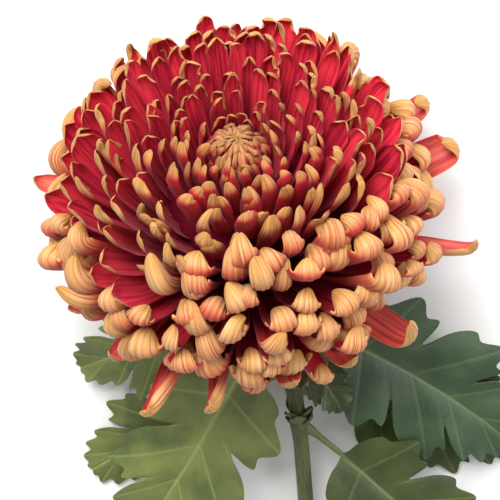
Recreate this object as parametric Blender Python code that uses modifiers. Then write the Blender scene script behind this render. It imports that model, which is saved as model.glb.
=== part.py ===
"""A cut chrysanthemum laid on its side: one big incurved bloom, its stem and its leaves.

Sizes are in metres and angles in degrees, unless a name says otherwise. The bloom is laid out in
a frame of its own, with +Z along the flower's axis towards its face and -Y towards the side that
ends up on top. The floor is the plane z = 0 of the finished part.
"""

import math
import random

import bmesh
import bpy
from mathutils import Matrix, Vector

# The bloom
BLOOM_RADIUS = 0.066
CRATER_DEPTH = 0.50
CRATER_WIDTH = 36
INNER_POLAR = 19
OUTER_POLAR = 113
INNER_SPACING = 0.0082
OUTER_SPACING = 0.0156
SPACING_SPREAD = 62
PETAL_SEED = 25
GOLDEN_ANGLE = math.pi * (3 - math.sqrt(5))

# The small head that the petals grow from, and the denser heart that hides it
ROOT_HEIGHT = -0.016
ROOT_RADIUS = 0.009
ROOT_DOME = 0.008
HEART_SHARE = 0.63
HEART_EDGE = 96
HEART_SIDES = 12
HEART_UNDERSIDE = ((0.0250, -0.0185), (0.0120, -0.0236))
ROOT_SINK = 0.0024

# Petals, small in the middle and large outside
SMALL_HALF_WIDTH = 0.0024
LARGE_HALF_WIDTH = 0.0053
PETAL_THICKNESS = 0.0011

# Long open petals at the rim, as (azimuth, polar angle, reach in millimetres)
GUARDS = (
    (-114, 114, 78),
    (-97, 114, 71),
    (-76, 112, 66),
    (-56, 113, 67),
    (-35, 113, 74),
    (-8, 101, 81),
    (18, 100, 80),
    (31, 97, 78),
    (52, 106, 69),
    (78, 110, 67),
    (104, 108, 67),
    (130, 107, 69),
    (150, 104, 70),
    (165, 104, 75),
    (-172, 108, 68),
    (-152, 111, 69),
    (-133, 113, 68),
)

GUARD_CLEARANCE = 8

# The closed florets in the middle
BUTTON_RADIUS = 0.0108
BUTTON_TOP = 0.0385
BUTTON_FALL = 0.0060
BUTTON_FLORETS = 19

# The green cup of scales under the bloom
CALYX_GAP = 0.0003
CALYX_DEPTH = 0.0075
CALYX_NECK = 0.0036
CALYX_SIDES = 12
SCALE_ROWS = ((10, 104, 0.0178, 0.0), (8, 122, 0.0158, 0.4))

# How the bloom lies
BLOOM_CENTRE = Vector((0.0, 0.0, 0.0478))
FACE_ELEVATION = 40
FACE_YAW = 2
PRESS_BAND = 0.004
FLAT_CUT = 0.00025

# The stem, from where it leaves the neck of the cup to its cut end on the floor
NECK_LENGTH = 0.008
STEM_PATH = (
    (0.0065, -0.0440, 0.0195),
    (0.0128, -0.0590, 0.0182),
    (0.0185, -0.0760, 0.0172),
    (0.0216, -0.0970, 0.0152),
    (0.0240, -0.1250, 0.0112),
    (0.0262, -0.1580, 0.0062),
    (0.0280, -0.1920, 0.0027),
)
STEM_GAP = 0.0006
STEM_RADIUS = 0.0029
STEM_POINTS = 30
STEM_SIDES = 2
NODE_SWELL = 0.20
NODE_LENGTH = 0.022

# Leaves
LEAF_THICKNESS = 0.0008
MIDRIB_THICKNESS = 0.0020
LEAF_CLEARANCE = 0.0021
LEAF_BAND = 0.004
LEAF_GAP = 0.0003
STALK_RADIUS = 0.0013

# One side of a leaf's edge: (share of the midrib where the vein leaves it, the vein's angle to
# the midrib, the vein's length as a share of the blade's length)
LEAF_EDGE = (
    (0.00, 90, 0.02),
    (0.03, 98, 0.10),
    (0.07, 88, 0.21),
    (0.10, 80, 0.23),
    (0.13, 70, 0.33),
    (0.17, 61, 0.28),
    (0.20, 56, 0.30),
    (0.24, 52, 0.17),
    (0.28, 58, 0.27),
    (0.31, 54, 0.36),
    (0.34, 50, 0.35),
    (0.38, 46, 0.42),
    (0.42, 42, 0.33),
    (0.46, 40, 0.32),
    (0.51, 42, 0.17),
    (0.55, 45, 0.23),
    (0.58, 40, 0.30),
    (0.62, 36, 0.26),
    (0.66, 32, 0.30),
    (0.72, 28, 0.23),
    (0.77, 25, 0.235),
    (0.84, 20, 0.15),
    (0.89, 16, 0.115),
)

# The part's own origin: this place of the floor, in the middle under the bloom and the leaves
ORIGIN = Vector((0.02043, -0.06564, 0.0))

# The size of the box that stands for the floor
FLOOR_CUTTER = 0.6

PETAL_RED = (0.42, 0.010, 0.020, 1.0)
STEM_GREEN = (0.16, 0.24, 0.06, 1.0)
CALYX_GREEN = (0.14, 0.24, 0.06, 1.0)
LEAF_GREEN = (0.06, 0.14, 0.035, 1.0)


def mix(a, b, share):
    return a + (b - a) * share


def clamp(value, low=0.0, high=1.0):
    return max(low, min(high, value))


def ease(share):
    share = clamp(share)
    return share * share * (3 - 2 * share)


def vary(draw, spread):
    """A seeded random amount, mostly under spread and never over twice that."""
    return clamp(draw.gauss(0, 1), -2, 2) * spread


def laid(centre, elevation, yaw):
    """The matrix that lays the bloom's own frame down on the floor."""
    tilt = math.radians(elevation)
    tipped = Matrix(
        (
            (1, 0, 0),
            (0, math.sin(tilt), math.cos(tilt)),
            (0, -math.cos(tilt), math.sin(tilt)),
        )
    )
    return Matrix.Translation(centre) @ Matrix.Rotation(math.radians(yaw), 4, "Z") @ tipped.to_4x4()


LAY = laid(BLOOM_CENTRE, FACE_ELEVATION, FACE_YAW)


def on_floor(height, band=PRESS_BAND):
    """A height kept above the floor: what would sink in bends over a band and then lies flat."""
    if height >= band:
        return height
    if height <= -band:
        return 0.0
    return (height + band) ** 2 / (4 * band)


def envelope(polar):
    """How far the petals reach from the bloom's centre, at an angle from its axis."""
    reach = BLOOM_RADIUS * (1 - CRATER_DEPTH * math.exp(-((polar / CRATER_WIDTH) ** 2)))
    under = math.radians(max(0.0, polar - 90))
    return reach * (1 - 0.25 * under**2)


def spacing(polar):
    """Distance between neighbouring petals at that angle."""
    return mix(INNER_SPACING, OUTER_SPACING, ease((polar - INNER_POLAR) / SPACING_SPREAD))


def spiral_table(steps=300):
    """Rows of (polar angle, number of petals nearer to the axis than that)."""
    rows = [(INNER_POLAR, 0.0)]
    step = (OUTER_POLAR - INNER_POLAR) / steps
    for _ in range(steps):
        polar, count = rows[-1]
        middle = math.radians(polar + step / 2)
        band = 2 * math.pi * envelope(polar) ** 2 * math.sin(middle) * math.radians(step)
        rows.append((polar + step, count + band / spacing(polar) ** 2))
    return rows


SPIRAL = spiral_table()
PETAL_COUNT = int(SPIRAL[-1][1])


def polar_of(index):
    """The polar angle of a petal, from its place in the spiral."""
    for (polar, count), (next_polar, next_count) in zip(SPIRAL, SPIRAL[1:]):
        if next_count >= index + 0.5:
            return mix(polar, next_polar, (index + 0.5 - count) / (next_count - count))
    return OUTER_POLAR


class Petal:
    """One ray petal: a bowed shaft, and then a tip that curls in towards the axis."""

    def __init__(self, index):
        draw = random.Random(PETAL_SEED * 10007 + index)
        self.polar = polar_of(index) + vary(draw, 1.2)
        lean = max(0.3, math.sin(math.radians(self.polar)))
        self.azimuth = index * GOLDEN_ANGLE + math.radians(vary(draw, 2.0)) / lean
        front = -math.sin(self.azimuth)
        size = ease((self.polar - 18) / 50)
        rim = ease((self.polar - 62) / 30)
        back = ease(0.5 - 0.9 * front)
        self.half_width = mix(SMALL_HALF_WIDTH, LARGE_HALF_WIDTH, size) * (1 + vary(draw, 0.08))
        self.curl = mix(58, 112, rim) + mix(34, 10, rim) * front + vary(draw, 14)
        self.curl_length = mix(0.0080, 0.0195, size) * (1 + vary(draw, 0.11))
        self.side_bend = vary(draw, 26)
        self.roll = vary(draw, 16)
        self.reach = envelope(self.polar) * (1 + vary(draw, 0.026))
        self.bow = mix(5, 12, size) + 7 * rim + vary(draw, 3)
        self.fold = mix(mix(70, 62, size), 48, 0.8 * back * size)

    def ends(self):
        """(radius, height) of the root and of the start of the curl, in the petal's own plane."""
        polar = math.radians(self.polar)
        root = (
            ROOT_RADIUS * math.sin(min(polar, math.pi / 2)),
            ROOT_HEIGHT + ROOT_DOME * math.cos(polar),
        )
        start = self.reach - self.rise()
        return root, (start * math.sin(polar), start * math.cos(polar))

    def rise(self):
        """How far the curl reaches beyond its start."""
        curl = math.radians(self.curl)
        return self.curl_length / curl * math.sin(min(curl, math.pi / 2))

    def shaft(self, share):
        """The frame (place, along, across, inward) at a share of the shaft's length."""
        (r0, z0), (r1, z1) = self.ends()
        chord = math.hypot(r1 - r0, z1 - z0)
        aim = math.atan2(r1 - r0, z1 - z0)
        bow = math.radians(self.bow if abs(self.bow) > 0.1 else 0.1)
        angle = aim + bow - 2 * bow * share
        arc = chord / (2 * math.sin(bow))
        r = r0 + arc * (math.cos(angle) - math.cos(aim + bow))
        z = z0 - arc * (math.sin(angle) - math.sin(aim + bow))
        out = Vector((math.cos(self.azimuth), math.sin(self.azimuth), 0))
        across = Vector((-math.sin(self.azimuth), math.cos(self.azimuth), 0))
        up = Vector((0, 0, 1))
        along = out * math.sin(angle) + up * math.cos(angle)
        inward = up * math.sin(angle) - out * math.cos(angle)
        return out * r + up * z, along, across, inward

    def frames(self, shaft_shares, curl_shares):
        """Frames and t along the petal: t runs from 0 to 1 on the shaft and to 2 at the tip."""
        found = [(*self.shaft(share), share) for share in shaft_shares]
        place, along, across, inward, _ = found[-1]
        for start, end in zip((0.0, *curl_shares), curl_shares):
            u, step = (start + end) / 2, end - start
            bend = -math.radians(self.curl) * (0.55 + 0.9 * u) * step
            drift = math.radians(self.side_bend) * 1.5 * u * step
            middle = Matrix.Rotation(bend / 2, 3, across) @ along
            place = place + middle * (self.curl_length * step)
            turn = Matrix.Rotation(drift, 3, inward) @ Matrix.Rotation(bend, 3, across)
            along, across, inward = turn @ along, turn @ across, turn @ inward
            found.append((place, along, across, inward, 1 + end))
        return [self.rolled(frame) for frame in found]

    def rolled(self, frame):
        """The frame turned about its own direction, more and more towards the tip."""
        place, along, across, inward, t = frame
        spin = Matrix.Rotation(math.radians(self.roll) * t / 2, 3, along)
        return place, along, spin @ across, spin @ inward, t

    def width_at(self, t):
        """Half of the width at t."""
        if t < 1.15:
            return self.half_width * mix(0.24, 1.0, ease(t / 1.15))
        return self.half_width * max(0.0, 1 - ((t - 1.15) / 0.85) ** 4.5) ** 0.5

    def fold_at(self, t):
        """Half of the angle that the petal's width bends through at t."""
        return math.radians(self.fold) * mix(0.75, 1.15, t / 2)


class GuardPetal(Petal):
    """A long, open petal at the rim, with only its end turned up."""

    def __init__(self, azimuth, polar, reach):
        draw = random.Random(PETAL_SEED * 30011 + azimuth)
        self.azimuth = math.radians(azimuth)
        self.polar = polar
        self.reach = reach / 1000
        self.half_width = LARGE_HALF_WIDTH * (1 + vary(draw, 0.08))
        self.curl = 48 + vary(draw, 12)
        self.curl_length = 0.022
        self.side_bend = vary(draw, 16)
        self.roll = vary(draw, 14)
        self.bow = vary(draw, 3) - 3
        self.fold = 50


class Floret(Petal):
    """A young petal of the closed middle: it rises and bends over towards the axis."""

    def __init__(self, index):
        draw = random.Random(PETAL_SEED * 20011 + index)
        share = math.sqrt((index + 0.5) / BUTTON_FLORETS)
        self.azimuth = index * GOLDEN_ANGLE + math.radians(vary(draw, 4))
        self.radius = mix(0.0022, BUTTON_RADIUS, share)
        self.top = BUTTON_TOP - BUTTON_FALL * share**2.2 * (1 + vary(draw, 0.1))
        self.curl = mix(80, 118, share) + vary(draw, 8)
        self.curl_length = mix(0.0036, 0.0105, share) * (1 + vary(draw, 0.06))
        self.side_bend = vary(draw, 12)
        self.roll = vary(draw, 10)
        self.half_width = mix(0.0012, 0.0023, share) * (1 + vary(draw, 0.08))
        self.bow = 2
        self.fold = 70

    def ends(self):
        start = self.top - self.rise()
        return (self.radius * 0.72, start - 0.012), (self.radius, start)


class Scale(Petal):
    """A green scale of the cup, which grows out from its side and lies along the bloom."""

    def __init__(self, row, index):
        count, polar, reach, turn = SCALE_ROWS[row]
        draw = random.Random(PETAL_SEED * 40009 + 100 * row + index)
        self.azimuth = 2 * math.pi * (index + turn) / count
        self.polar = polar + vary(draw, 2)
        self.reach = reach * (1 + vary(draw, 0.05))
        self.curl = 16
        self.curl_length = 0.006
        self.side_bend = 0
        self.roll = 0
        self.half_width = 0.0030
        self.bow = -8
        self.fold = 40

    def ends(self):
        polar = math.radians(self.polar)
        start = self.reach - self.rise()
        base = HEART_UNDERSIDE[-1][1] - CALYX_GAP
        return (0.004, base - 0.0035), (start * math.sin(polar), base + start * math.cos(polar))


def heart_profile(steps=6):
    """(radius, height) down the heart's outside, from the top of its axis to its base."""
    rows = []
    for k in range(steps + 1):
        polar = HEART_EDGE * k / steps
        reach = HEART_SHARE * envelope(polar)
        polar = math.radians(polar)
        rows.append((reach * math.sin(polar), reach * math.cos(polar)))
    return rows + list(HEART_UNDERSIDE) + [(0.0, HEART_UNDERSIDE[-1][1])]


HEART = heart_profile()


def in_heart(place, margin):
    """Whether a place in the bloom's frame lies at least that deep inside the heart."""
    radius = math.hypot(place.x, place.y)
    if not HEART[-1][1] + margin < place.z < HEART[0][1] - margin:
        return False
    outer = 0.0
    for (r0, z0), (r1, z1) in zip(HEART, HEART[1:]):
        if min(z0, z1) <= place.z <= max(z0, z1) and z0 != z1:
            outer = max(outer, mix(r0, r1, (place.z - z0) / (z1 - z0)))
    return radius < outer - margin


def root_share(petal):
    """The share of the shaft below which the petal is well inside the heart."""
    share = 0.9
    while share > 0.02 and not in_heart(petal.shaft(share)[0], ROOT_SINK):
        share -= 0.02
    return share


def under_guard(petal):
    """Whether a guard petal takes this petal's place at the rim."""
    for azimuth, polar, _ in GUARDS:
        apart = math.degrees(petal.azimuth) - azimuth
        apart = (apart + 180) % 360 - 180
        if math.hypot(apart, petal.polar - polar) < GUARD_CLEARANCE:
            return True
    return False


def mesh_object(name, mesh, material, collection):
    """A new object with the material on its mesh."""
    mesh.materials.clear()
    mesh.materials.append(material)
    piece = bpy.data.objects.new(name, mesh)
    collection.objects.link(piece)
    return piece


def pressed(ring):
    """The ring lifted as one, so that its lowest point stays on the floor."""
    low = min(point.z for point in ring)
    lift = on_floor(low) - FLAT_CUT - low if low < PRESS_BAND else 0.0
    return [point + Vector((0, 0, lift)) for point in ring]


def petal_mesh(name, petal, shaft_shares, curl_shares, thickness=PETAL_THICKNESS):
    """A closed petal, lofted through four-sided sections to a point and laid on the floor."""
    frames = petal.frames(shaft_shares, curl_shares)
    points, faces = [], []
    for place, _, across, inward, t in frames[:-1]:
        half, fold = petal.width_at(t), petal.fold_at(t)
        depth = half / math.sin(fold) * (1 - math.cos(fold))
        ring = (
            place + across * half + inward * depth,
            place - inward * thickness / 2,
            place - across * half + inward * depth,
            place + inward * thickness / 2,
        )
        points += pressed([LAY @ point for point in ring])
    points += pressed([LAY @ frames[-1][0]])
    for ring in range(len(frames) - 2):
        for k in range(4):
            a, b = 4 * ring + k, 4 * ring + (k + 1) % 4
            faces += [(a, b + 4, b), (a, a + 4, b + 4)]
    last = 4 * (len(frames) - 2)
    tip = len(points) - 1
    faces += [(last + (k + 1) % 4, last + k, tip) for k in range(4)]
    faces += [(0, 1, 2), (0, 2, 3)]
    mesh = bpy.data.meshes.new(name)
    mesh.from_pydata(points, [], faces)
    return mesh


def turned(name, profile, steps, collection):
    """A solid of revolution about Z, by a Screw on the profile, from its top to its bottom."""
    mesh = bpy.data.meshes.new(name)
    edges = [(k, k + 1) for k in range(len(profile) - 1)]
    mesh.from_pydata([(r, 0, z) for r, z in profile], edges, [])
    piece = bpy.data.objects.new(name, mesh)
    collection.objects.link(piece)
    screw = piece.modifiers.new("Turn", "SCREW")
    screw.steps = steps
    screw.render_steps = steps
    screw.use_merge_vertices = True
    screw.merge_threshold = 0.0001
    applied(piece)
    return piece


def applied(piece):
    """The object's mesh replaced by what its modifiers make of it."""
    bpy.context.view_layer.update()
    graph = bpy.context.evaluated_depsgraph_get()
    mesh = bpy.data.meshes.new_from_object(piece.evaluated_get(graph))
    piece.modifiers.clear()
    if piece.type != "MESH":
        return mesh
    old = piece.data
    piece.data = mesh
    bpy.data.meshes.remove(old)
    return mesh


def fused(piece, repeats, solver="EXACT"):
    """Joins a collection's solids to the piece, and removes the collection."""
    union = piece.modifiers.new("Fuse", "BOOLEAN")
    union.operation = "UNION"
    union.operand_type = "COLLECTION"
    union.collection = repeats
    union.solver = solver
    applied(piece)
    for repeat in list(repeats.objects):
        bpy.data.objects.remove(repeat)
    bpy.data.collections.remove(repeats)
    keep_largest(piece.data)


def keep_largest(mesh):
    """Fills sealed hollows and drops loose scraps: only the shell with the most faces stays."""
    shape = bmesh.new()
    shape.from_mesh(mesh)
    shape.faces.ensure_lookup_table()
    left = set(shape.faces)
    shells = []
    while left:
        start = left.pop()
        shell, edge_of = {start}, [start]
        while edge_of:
            face = edge_of.pop()
            for edge in face.edges:
                for other in edge.link_faces:
                    if other in left:
                        left.discard(other)
                        shell.add(other)
                        edge_of.append(other)
        shells.append(shell)
    shells.sort(key=len)
    for shell in shells[:-1]:
        bmesh.ops.delete(shape, geom=list(shell), context="FACES")
    bmesh.ops.delete(
        shape, geom=[point for point in shape.verts if not point.link_faces], context="VERTS"
    )
    shape.to_mesh(mesh)
    shape.free()


def shaded(piece, angle=40):
    """Smooth shading, but for edges sharper than the angle."""
    piece.data.shade_smooth()
    piece.data.set_sharp_from_angle(angle=math.radians(angle))


class Workshop:
    """The collections and materials that the pieces are made with."""

    def __init__(self):
        for piece in list(bpy.data.objects):
            bpy.data.objects.remove(piece)
        self.parts = self.collection("Chrysanthemum")
        self.cutters = self.collection("Cutters")
        self.floor = self.floor_cutter()

    def collection(self, name):
        made = bpy.data.collections.new(name)
        bpy.context.scene.collection.children.link(made)
        return made

    def place(self):
        """Hangs every piece on one empty, which brings the part's origin to the world's."""
        whole = bpy.data.objects.new("chrysanthemum", None)
        whole.location = -ORIGIN
        for piece in self.parts.objects:
            piece.parent = whole
        self.parts.objects.link(whole)

    def material(self, name, colour, roughness):
        made = bpy.data.materials.new(name)
        made.use_nodes = True
        shader = made.node_tree.nodes["Principled BSDF"]
        shader.inputs["Base Color"].default_value = colour
        shader.inputs["Roughness"].default_value = roughness
        return made

    def floor_cutter(self):
        """A box below the floor, which gives the pieces that touch it their flat spots."""
        bpy.ops.mesh.primitive_cube_add(size=FLOOR_CUTTER, location=(0, 0, -FLOOR_CUTTER / 2))
        box = bpy.context.object
        box.name = "floor"
        for owner in list(box.users_collection):
            owner.objects.unlink(box)
        self.cutters.objects.link(box)
        box.hide_render = True
        box.display_type = "WIRE"
        return box

    def cut_flat(self, piece, solver="EXACT"):
        """Takes off what lies under the floor."""
        cut = piece.modifiers.new("Flat", "BOOLEAN")
        cut.operation = "DIFFERENCE"
        cut.object = self.floor
        cut.solver = solver
        applied(piece)
        keep_largest(piece.data)

    def tube(self, name, places, radii, sides, material):
        """A closed tube through the places, made a mesh and welded at its caps."""
        line = bpy.data.curves.new(name, "CURVE")
        line.dimensions = "3D"
        line.bevel_depth = 1.0
        line.bevel_resolution = sides
        line.use_fill_caps = True
        spline = line.splines.new("POLY")
        spline.points.add(len(places) - 1)
        for point, place, radius in zip(spline.points, places, radii):
            point.co = (*place, 1.0)
            point.radius = radius
        guide = bpy.data.objects.new(name + "_line", line)
        self.parts.objects.link(guide)
        mesh = applied(guide)
        bpy.data.objects.remove(guide)
        shape = bmesh.new()
        shape.from_mesh(mesh)
        bmesh.ops.remove_doubles(shape, verts=shape.verts, dist=0.00001)
        bmesh.ops.recalc_face_normals(shape, faces=shape.faces)
        bmesh.ops.triangulate(shape, faces=shape.faces)
        shape.to_mesh(mesh)
        shape.free()
        return mesh_object(name, mesh, material, self.parts)


def make_bloom(shop):
    """All the petals and the closed middle, fused to the heart that they grow from."""
    red = shop.material("petal red", PETAL_RED, 0.5)
    bloom = turned("bloom", HEART, HEART_SIDES, shop.parts)
    bloom.data.transform(LAY)
    bloom.data.materials.append(red)
    repeats = shop.collection("Petals")
    for index in range(PETAL_COUNT):
        petal = Petal(index)
        if under_guard(petal):
            continue
        start = root_share(petal)
        curl = (0.42, 0.84, 1.0) if petal.polar > 40 else (0.72, 1.0)
        mesh_object(f"petal_{index}", petal_mesh("petal", petal, (start, 1.0), curl), red, repeats)
    for index, place in enumerate(GUARDS):
        guard = GuardPetal(*place)
        start = root_share(guard)
        shares = (start, mix(start, 1, 0.5), 1.0)
        curl = (0.42, 0.84, 1.0)
        mesh_object(f"guard_{index}", petal_mesh("guard", guard, shares, curl), red, repeats)
    for index in range(BUTTON_FLORETS):
        floret = petal_mesh("floret", Floret(index), (0.0, 1.0), (0.72, 1.0))
        mesh_object(f"floret_{index}", floret, red, repeats)
    fused(bloom, repeats, "MANIFOLD")
    shop.cut_flat(bloom, "MANIFOLD")
    shaded(bloom)


def make_calyx(shop):
    """The cup that the stem widens into, with two rows of scales round it."""
    green = shop.material("calyx green", CALYX_GREEN, 0.6)
    top = HEART_UNDERSIDE[-1][1] - CALYX_GAP
    profile = (
        (0.0, top),
        (0.0105, top),
        (0.0098, top - 0.0022),
        (0.0066, top - 0.0052),
        (CALYX_NECK, top - CALYX_DEPTH),
        (0.0, top - CALYX_DEPTH),
    )
    calyx = turned("calyx", profile, CALYX_SIDES, shop.parts)
    calyx.data.transform(LAY)
    calyx.data.materials.append(green)
    repeats = shop.collection("Scales")
    for row, (count, *_) in enumerate(SCALE_ROWS):
        for index in range(count):
            scale = petal_mesh("scale", Scale(row, index), (0.0, 1.0), (1.0,), 0.0009)
            mesh_object(f"scale_{row}_{index}", scale, green, repeats)
    fused(calyx, repeats)
    shaded(calyx)


def stem_knots():
    """The places that the stem's centre line runs through, with one more beyond each end."""
    top = HEART_UNDERSIDE[-1][1] - CALYX_GAP - CALYX_DEPTH - STEM_GAP
    neck = [LAY @ Vector((0, 0, top - drop)) for drop in (-NECK_LENGTH, 0, NECK_LENGTH)]
    knots = [*neck, *[Vector(place) for place in STEM_PATH]]
    return [*knots, 2 * knots[-1] - knots[-2]]


STEM_KNOTS = stem_knots()


def stem_place(share):
    """A place on the stem's smooth centre line, from its top at 0 to its cut end at 1."""
    along = clamp(share, 0, 0.99999) * (len(STEM_KNOTS) - 3)
    k, u = int(along), along % 1
    a, b, c, d = STEM_KNOTS[k : k + 4]
    return (
        2 * b
        + (c - a) * u
        + (2 * a - 5 * b + 4 * c - d) * u**2
        + (3 * b - a - 3 * c + d) * u**3
    ) / 2


def stem_radius(share):
    """The stem's radius, with a swelling where each leaf grows."""
    swell = sum(math.exp(-(((share - leaf.share) / NODE_LENGTH) ** 2)) for leaf in LEAVES)
    taper = mix(0.9, 1.06, share)
    return STEM_RADIUS * taper * (1 + NODE_SWELL * min(1.0, swell))


class Leaf:
    """A lobed, toothed leaf on its stalk: where it grows, which way it runs and how it hangs."""

    def __init__(self, name, share, heading, length, width, rise, droop, stalk, sweep=0, roll=0):
        self.name = name
        self.share = share
        self.heading = heading
        self.length = length
        self.width = width
        self.rise = rise
        self.droop = droop
        self.stalk = stalk
        self.sweep = sweep
        self.roll = roll

    def line(self, steps=48):
        """Frames (place, along, across, up) from the stem's skin to the leaf's tip."""
        heading = math.radians(self.heading)
        side = Vector((math.cos(heading), math.sin(heading), 0))
        stem = (stem_place(self.share + 0.01) - stem_place(self.share - 0.01)).normalized()
        clear = stem_radius(self.share) + LEAF_GAP + STALK_RADIUS * abs(side.dot(stem))
        place = stem_place(self.share) + side * clear / side.cross(stem).length
        step = (self.stalk + self.length) / steps
        found = []
        for k in range(steps + 1):
            u = k / steps
            turn = heading + math.radians(self.sweep) * u
            pitch = math.radians(self.rise - self.droop * u)
            flat = Vector((math.cos(turn), math.sin(turn), 0))
            along = flat * math.cos(pitch) + Vector((0, 0, math.sin(pitch)))
            across = Vector((-math.sin(turn), math.cos(turn), 0))
            across = Matrix.Rotation(math.radians(self.roll) * ease(2 * u), 3, along) @ across
            found.append((place, along, across, along.cross(across)))
            place = place + along * step
        return found

    def frame(self, share, line):
        """The frame at a share of the blade; below 0 it is on the stalk."""
        whole = (self.stalk + share * self.length) / (self.stalk + self.length)
        k = min(len(line) - 2, int(whole * (len(line) - 1)))
        u = whole * (len(line) - 1) - k
        return [a.lerp(b, u) for a, b in zip(line[k], line[k + 1])]

    def surface(self, share, angle, reach, side, line):
        """A place on the blade, at a distance along a vein that leaves the midrib at a share."""
        place, along, across, up = self.frame(share, line)
        out = reach * math.sin(math.radians(angle)) * self.width * self.length
        forward = reach * math.cos(math.radians(angle)) * self.length
        wave = math.sin(share * 16 + side) * (reach / 0.3) ** 2 * 0.0020
        lift = 0.24 * out - 7.0 * out**2 + wave
        found = place + along * forward + across * side * out + up * lift
        arch = forward * math.radians(self.droop) * forward / (self.stalk + self.length)
        found.z = on_floor(found.z - arch / 2 - LEAF_CLEARANCE, LEAF_BAND) + LEAF_CLEARANCE
        return found

    def blade(self):
        """The open surface of the blade, in triangles."""
        line = self.line()
        ribs = [*[share for share, _, _ in LEAF_EDGE], 1.0]
        points = [self.surface(share, 90, 0.0, 1, line) for share in ribs]
        faces = []
        for side in (1, -1):
            first = len(points)
            points += [self.surface(*knot, side, line) for knot in LEAF_EDGE]
            count = len(LEAF_EDGE)
            for k in range(count - 1):
                a, b, c, d = k, first + k, first + k + 1, k + 1
                triangles = [(a, c, b), (a, d, c)] if side > 0 else [(a, b, c), (a, c, d)]
                faces += triangles
            end = (count - 1, count, first + count - 1)
            faces.append(end if side > 0 else end[::-1])
        mesh = bpy.data.meshes.new(self.name)
        mesh.from_pydata(points, [], faces)
        return mesh

    def make(self, shop, green):
        """The blade made solid, thicker along its midrib, and fused to its stalk."""
        leaf = mesh_object(self.name, self.blade(), green, shop.parts)
        midrib = leaf.vertex_groups.new(name="midrib")
        midrib.add(list(range(len(LEAF_EDGE) - 1)), 1.0, "REPLACE")
        skin = leaf.modifiers.new("Thickness", "SOLIDIFY")
        skin.thickness = MIDRIB_THICKNESS
        skin.offset = -1.0
        skin.vertex_group = "midrib"
        skin.thickness_vertex_group = LEAF_THICKNESS / MIDRIB_THICKNESS
        applied(leaf)
        line = self.line()
        places, radii = [], []
        for k in range(6):
            place, _, _, up = self.frame(mix(-self.stalk, 0.10 * self.length, k / 5) / self.length, line)
            radii.append(STALK_RADIUS * mix(1.0, 0.7, k / 5))
            places.append(place - up * mix(0, MIDRIB_THICKNESS / 2, k / 5))
        repeats = shop.collection("Stalk")
        stalk = shop.tube("stalk", places, radii, 1, green)
        shop.parts.objects.unlink(stalk)
        repeats.objects.link(stalk)
        fused(leaf, repeats)
        shaded(leaf)


LEAVES = (
    Leaf("leaf_far_left", 0.25, 203, 0.060, 1.00, 6, 34, 0.012, 6, 0),
    Leaf("leaf_left", 0.33, 240, 0.086, 1.00, 18, 44, 0.014, 2, 8),
    Leaf("leaf_low_left", 0.47, 213, 0.066, 1.00, -10, 14, 0.022, 0, 0),
    Leaf("leaf_right", 0.28, -20, 0.084, 1.02, 6, 24, 0.022, -26, -8),
    Leaf("leaf_mid_right", 0.52, -18, 0.072, 1.05, -12, 0, 0.020, 4, 4),
    Leaf("leaf_low_right", 0.61, -34, 0.070, 1.05, 20, 52, 0.014, -26, -6),
    Leaf("leaf_neck", 0.40, -26, 0.026, 1.20, 52, 62, 0.003, -44, 0),
)


def make_stem(shop):
    """The stem, cut square at its end, with a small flat where it rests."""
    green = shop.material("stem green", STEM_GREEN, 0.55)
    shares = [k / (STEM_POINTS - 1) for k in range(STEM_POINTS)]
    places = [stem_place(share) for share in shares]
    radii = [stem_radius(share) for share in shares]
    stem = shop.tube("stem", places, radii, STEM_SIDES, green)
    shop.cut_flat(stem)
    shaded(stem)


def main():
    shop = Workshop()
    make_bloom(shop)
    make_calyx(shop)
    make_stem(shop)
    green = shop.material("leaf green", LEAF_GREEN, 0.6)
    for leaf in LEAVES:
        leaf.make(shop, green)
    shop.place()


if __name__ == "__main__":
    main()
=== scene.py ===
"""The looks of a cut chrysanthemum: one big incurved bloom, its stem and its leaves.

Lengths are in metres and angles in degrees, unless a name says otherwise. The bloom is laid out in
a frame of its own, with +Z along the flower's axis towards its face and -Y towards the side that
ends up on top. It is then laid down on the floor, which is the plane z = 0.
"""

import logging
import math
import random
from dataclasses import astuple, dataclass, field
from enum import Enum
from typing import Any, Sequence

import bpy
import numpy as np
from mathutils import Matrix, Vector


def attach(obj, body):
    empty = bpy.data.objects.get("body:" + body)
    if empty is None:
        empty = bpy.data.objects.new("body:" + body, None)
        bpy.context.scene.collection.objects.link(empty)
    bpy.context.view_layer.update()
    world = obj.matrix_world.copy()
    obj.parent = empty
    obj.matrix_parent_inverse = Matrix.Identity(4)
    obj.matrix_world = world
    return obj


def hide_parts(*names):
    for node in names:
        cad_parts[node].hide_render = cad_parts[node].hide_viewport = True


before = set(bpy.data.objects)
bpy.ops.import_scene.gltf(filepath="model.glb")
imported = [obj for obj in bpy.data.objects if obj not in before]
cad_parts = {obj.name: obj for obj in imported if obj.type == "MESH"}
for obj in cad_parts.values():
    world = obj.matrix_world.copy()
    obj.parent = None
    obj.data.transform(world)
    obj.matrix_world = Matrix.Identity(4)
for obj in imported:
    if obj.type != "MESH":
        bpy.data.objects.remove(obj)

Colour = tuple[float, float, float]
Socket = bpy.types.NodeSocket
Material = bpy.types.Material
Frame = tuple[Vector, Vector, Vector, Vector, float]
Line = list[tuple[Vector, Vector, Vector, Vector]]

LOG = logging.getLogger("chrysanthemum")
BODY = "root"
GOLDEN_ANGLE = math.pi * (3 - math.sqrt(5))
UP = Vector((0, 0, 1))

# The place on the floor under the middle of the bloom
FOOT = Vector((-0.02043, 0.06564, 0.0))


def mix(a: float, b: float, share: float) -> float:
    """A value between two others, at a share of the way."""
    return a + (b - a) * share


def clamp(value: float, low: float = 0.0, high: float = 1.0) -> float:
    """The value kept between the two limits."""
    return max(low, min(high, value))


def ease(share: float) -> float:
    """A share of the way that starts and ends gently."""
    share = clamp(share)
    return share * share * (3 - 2 * share)


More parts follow.
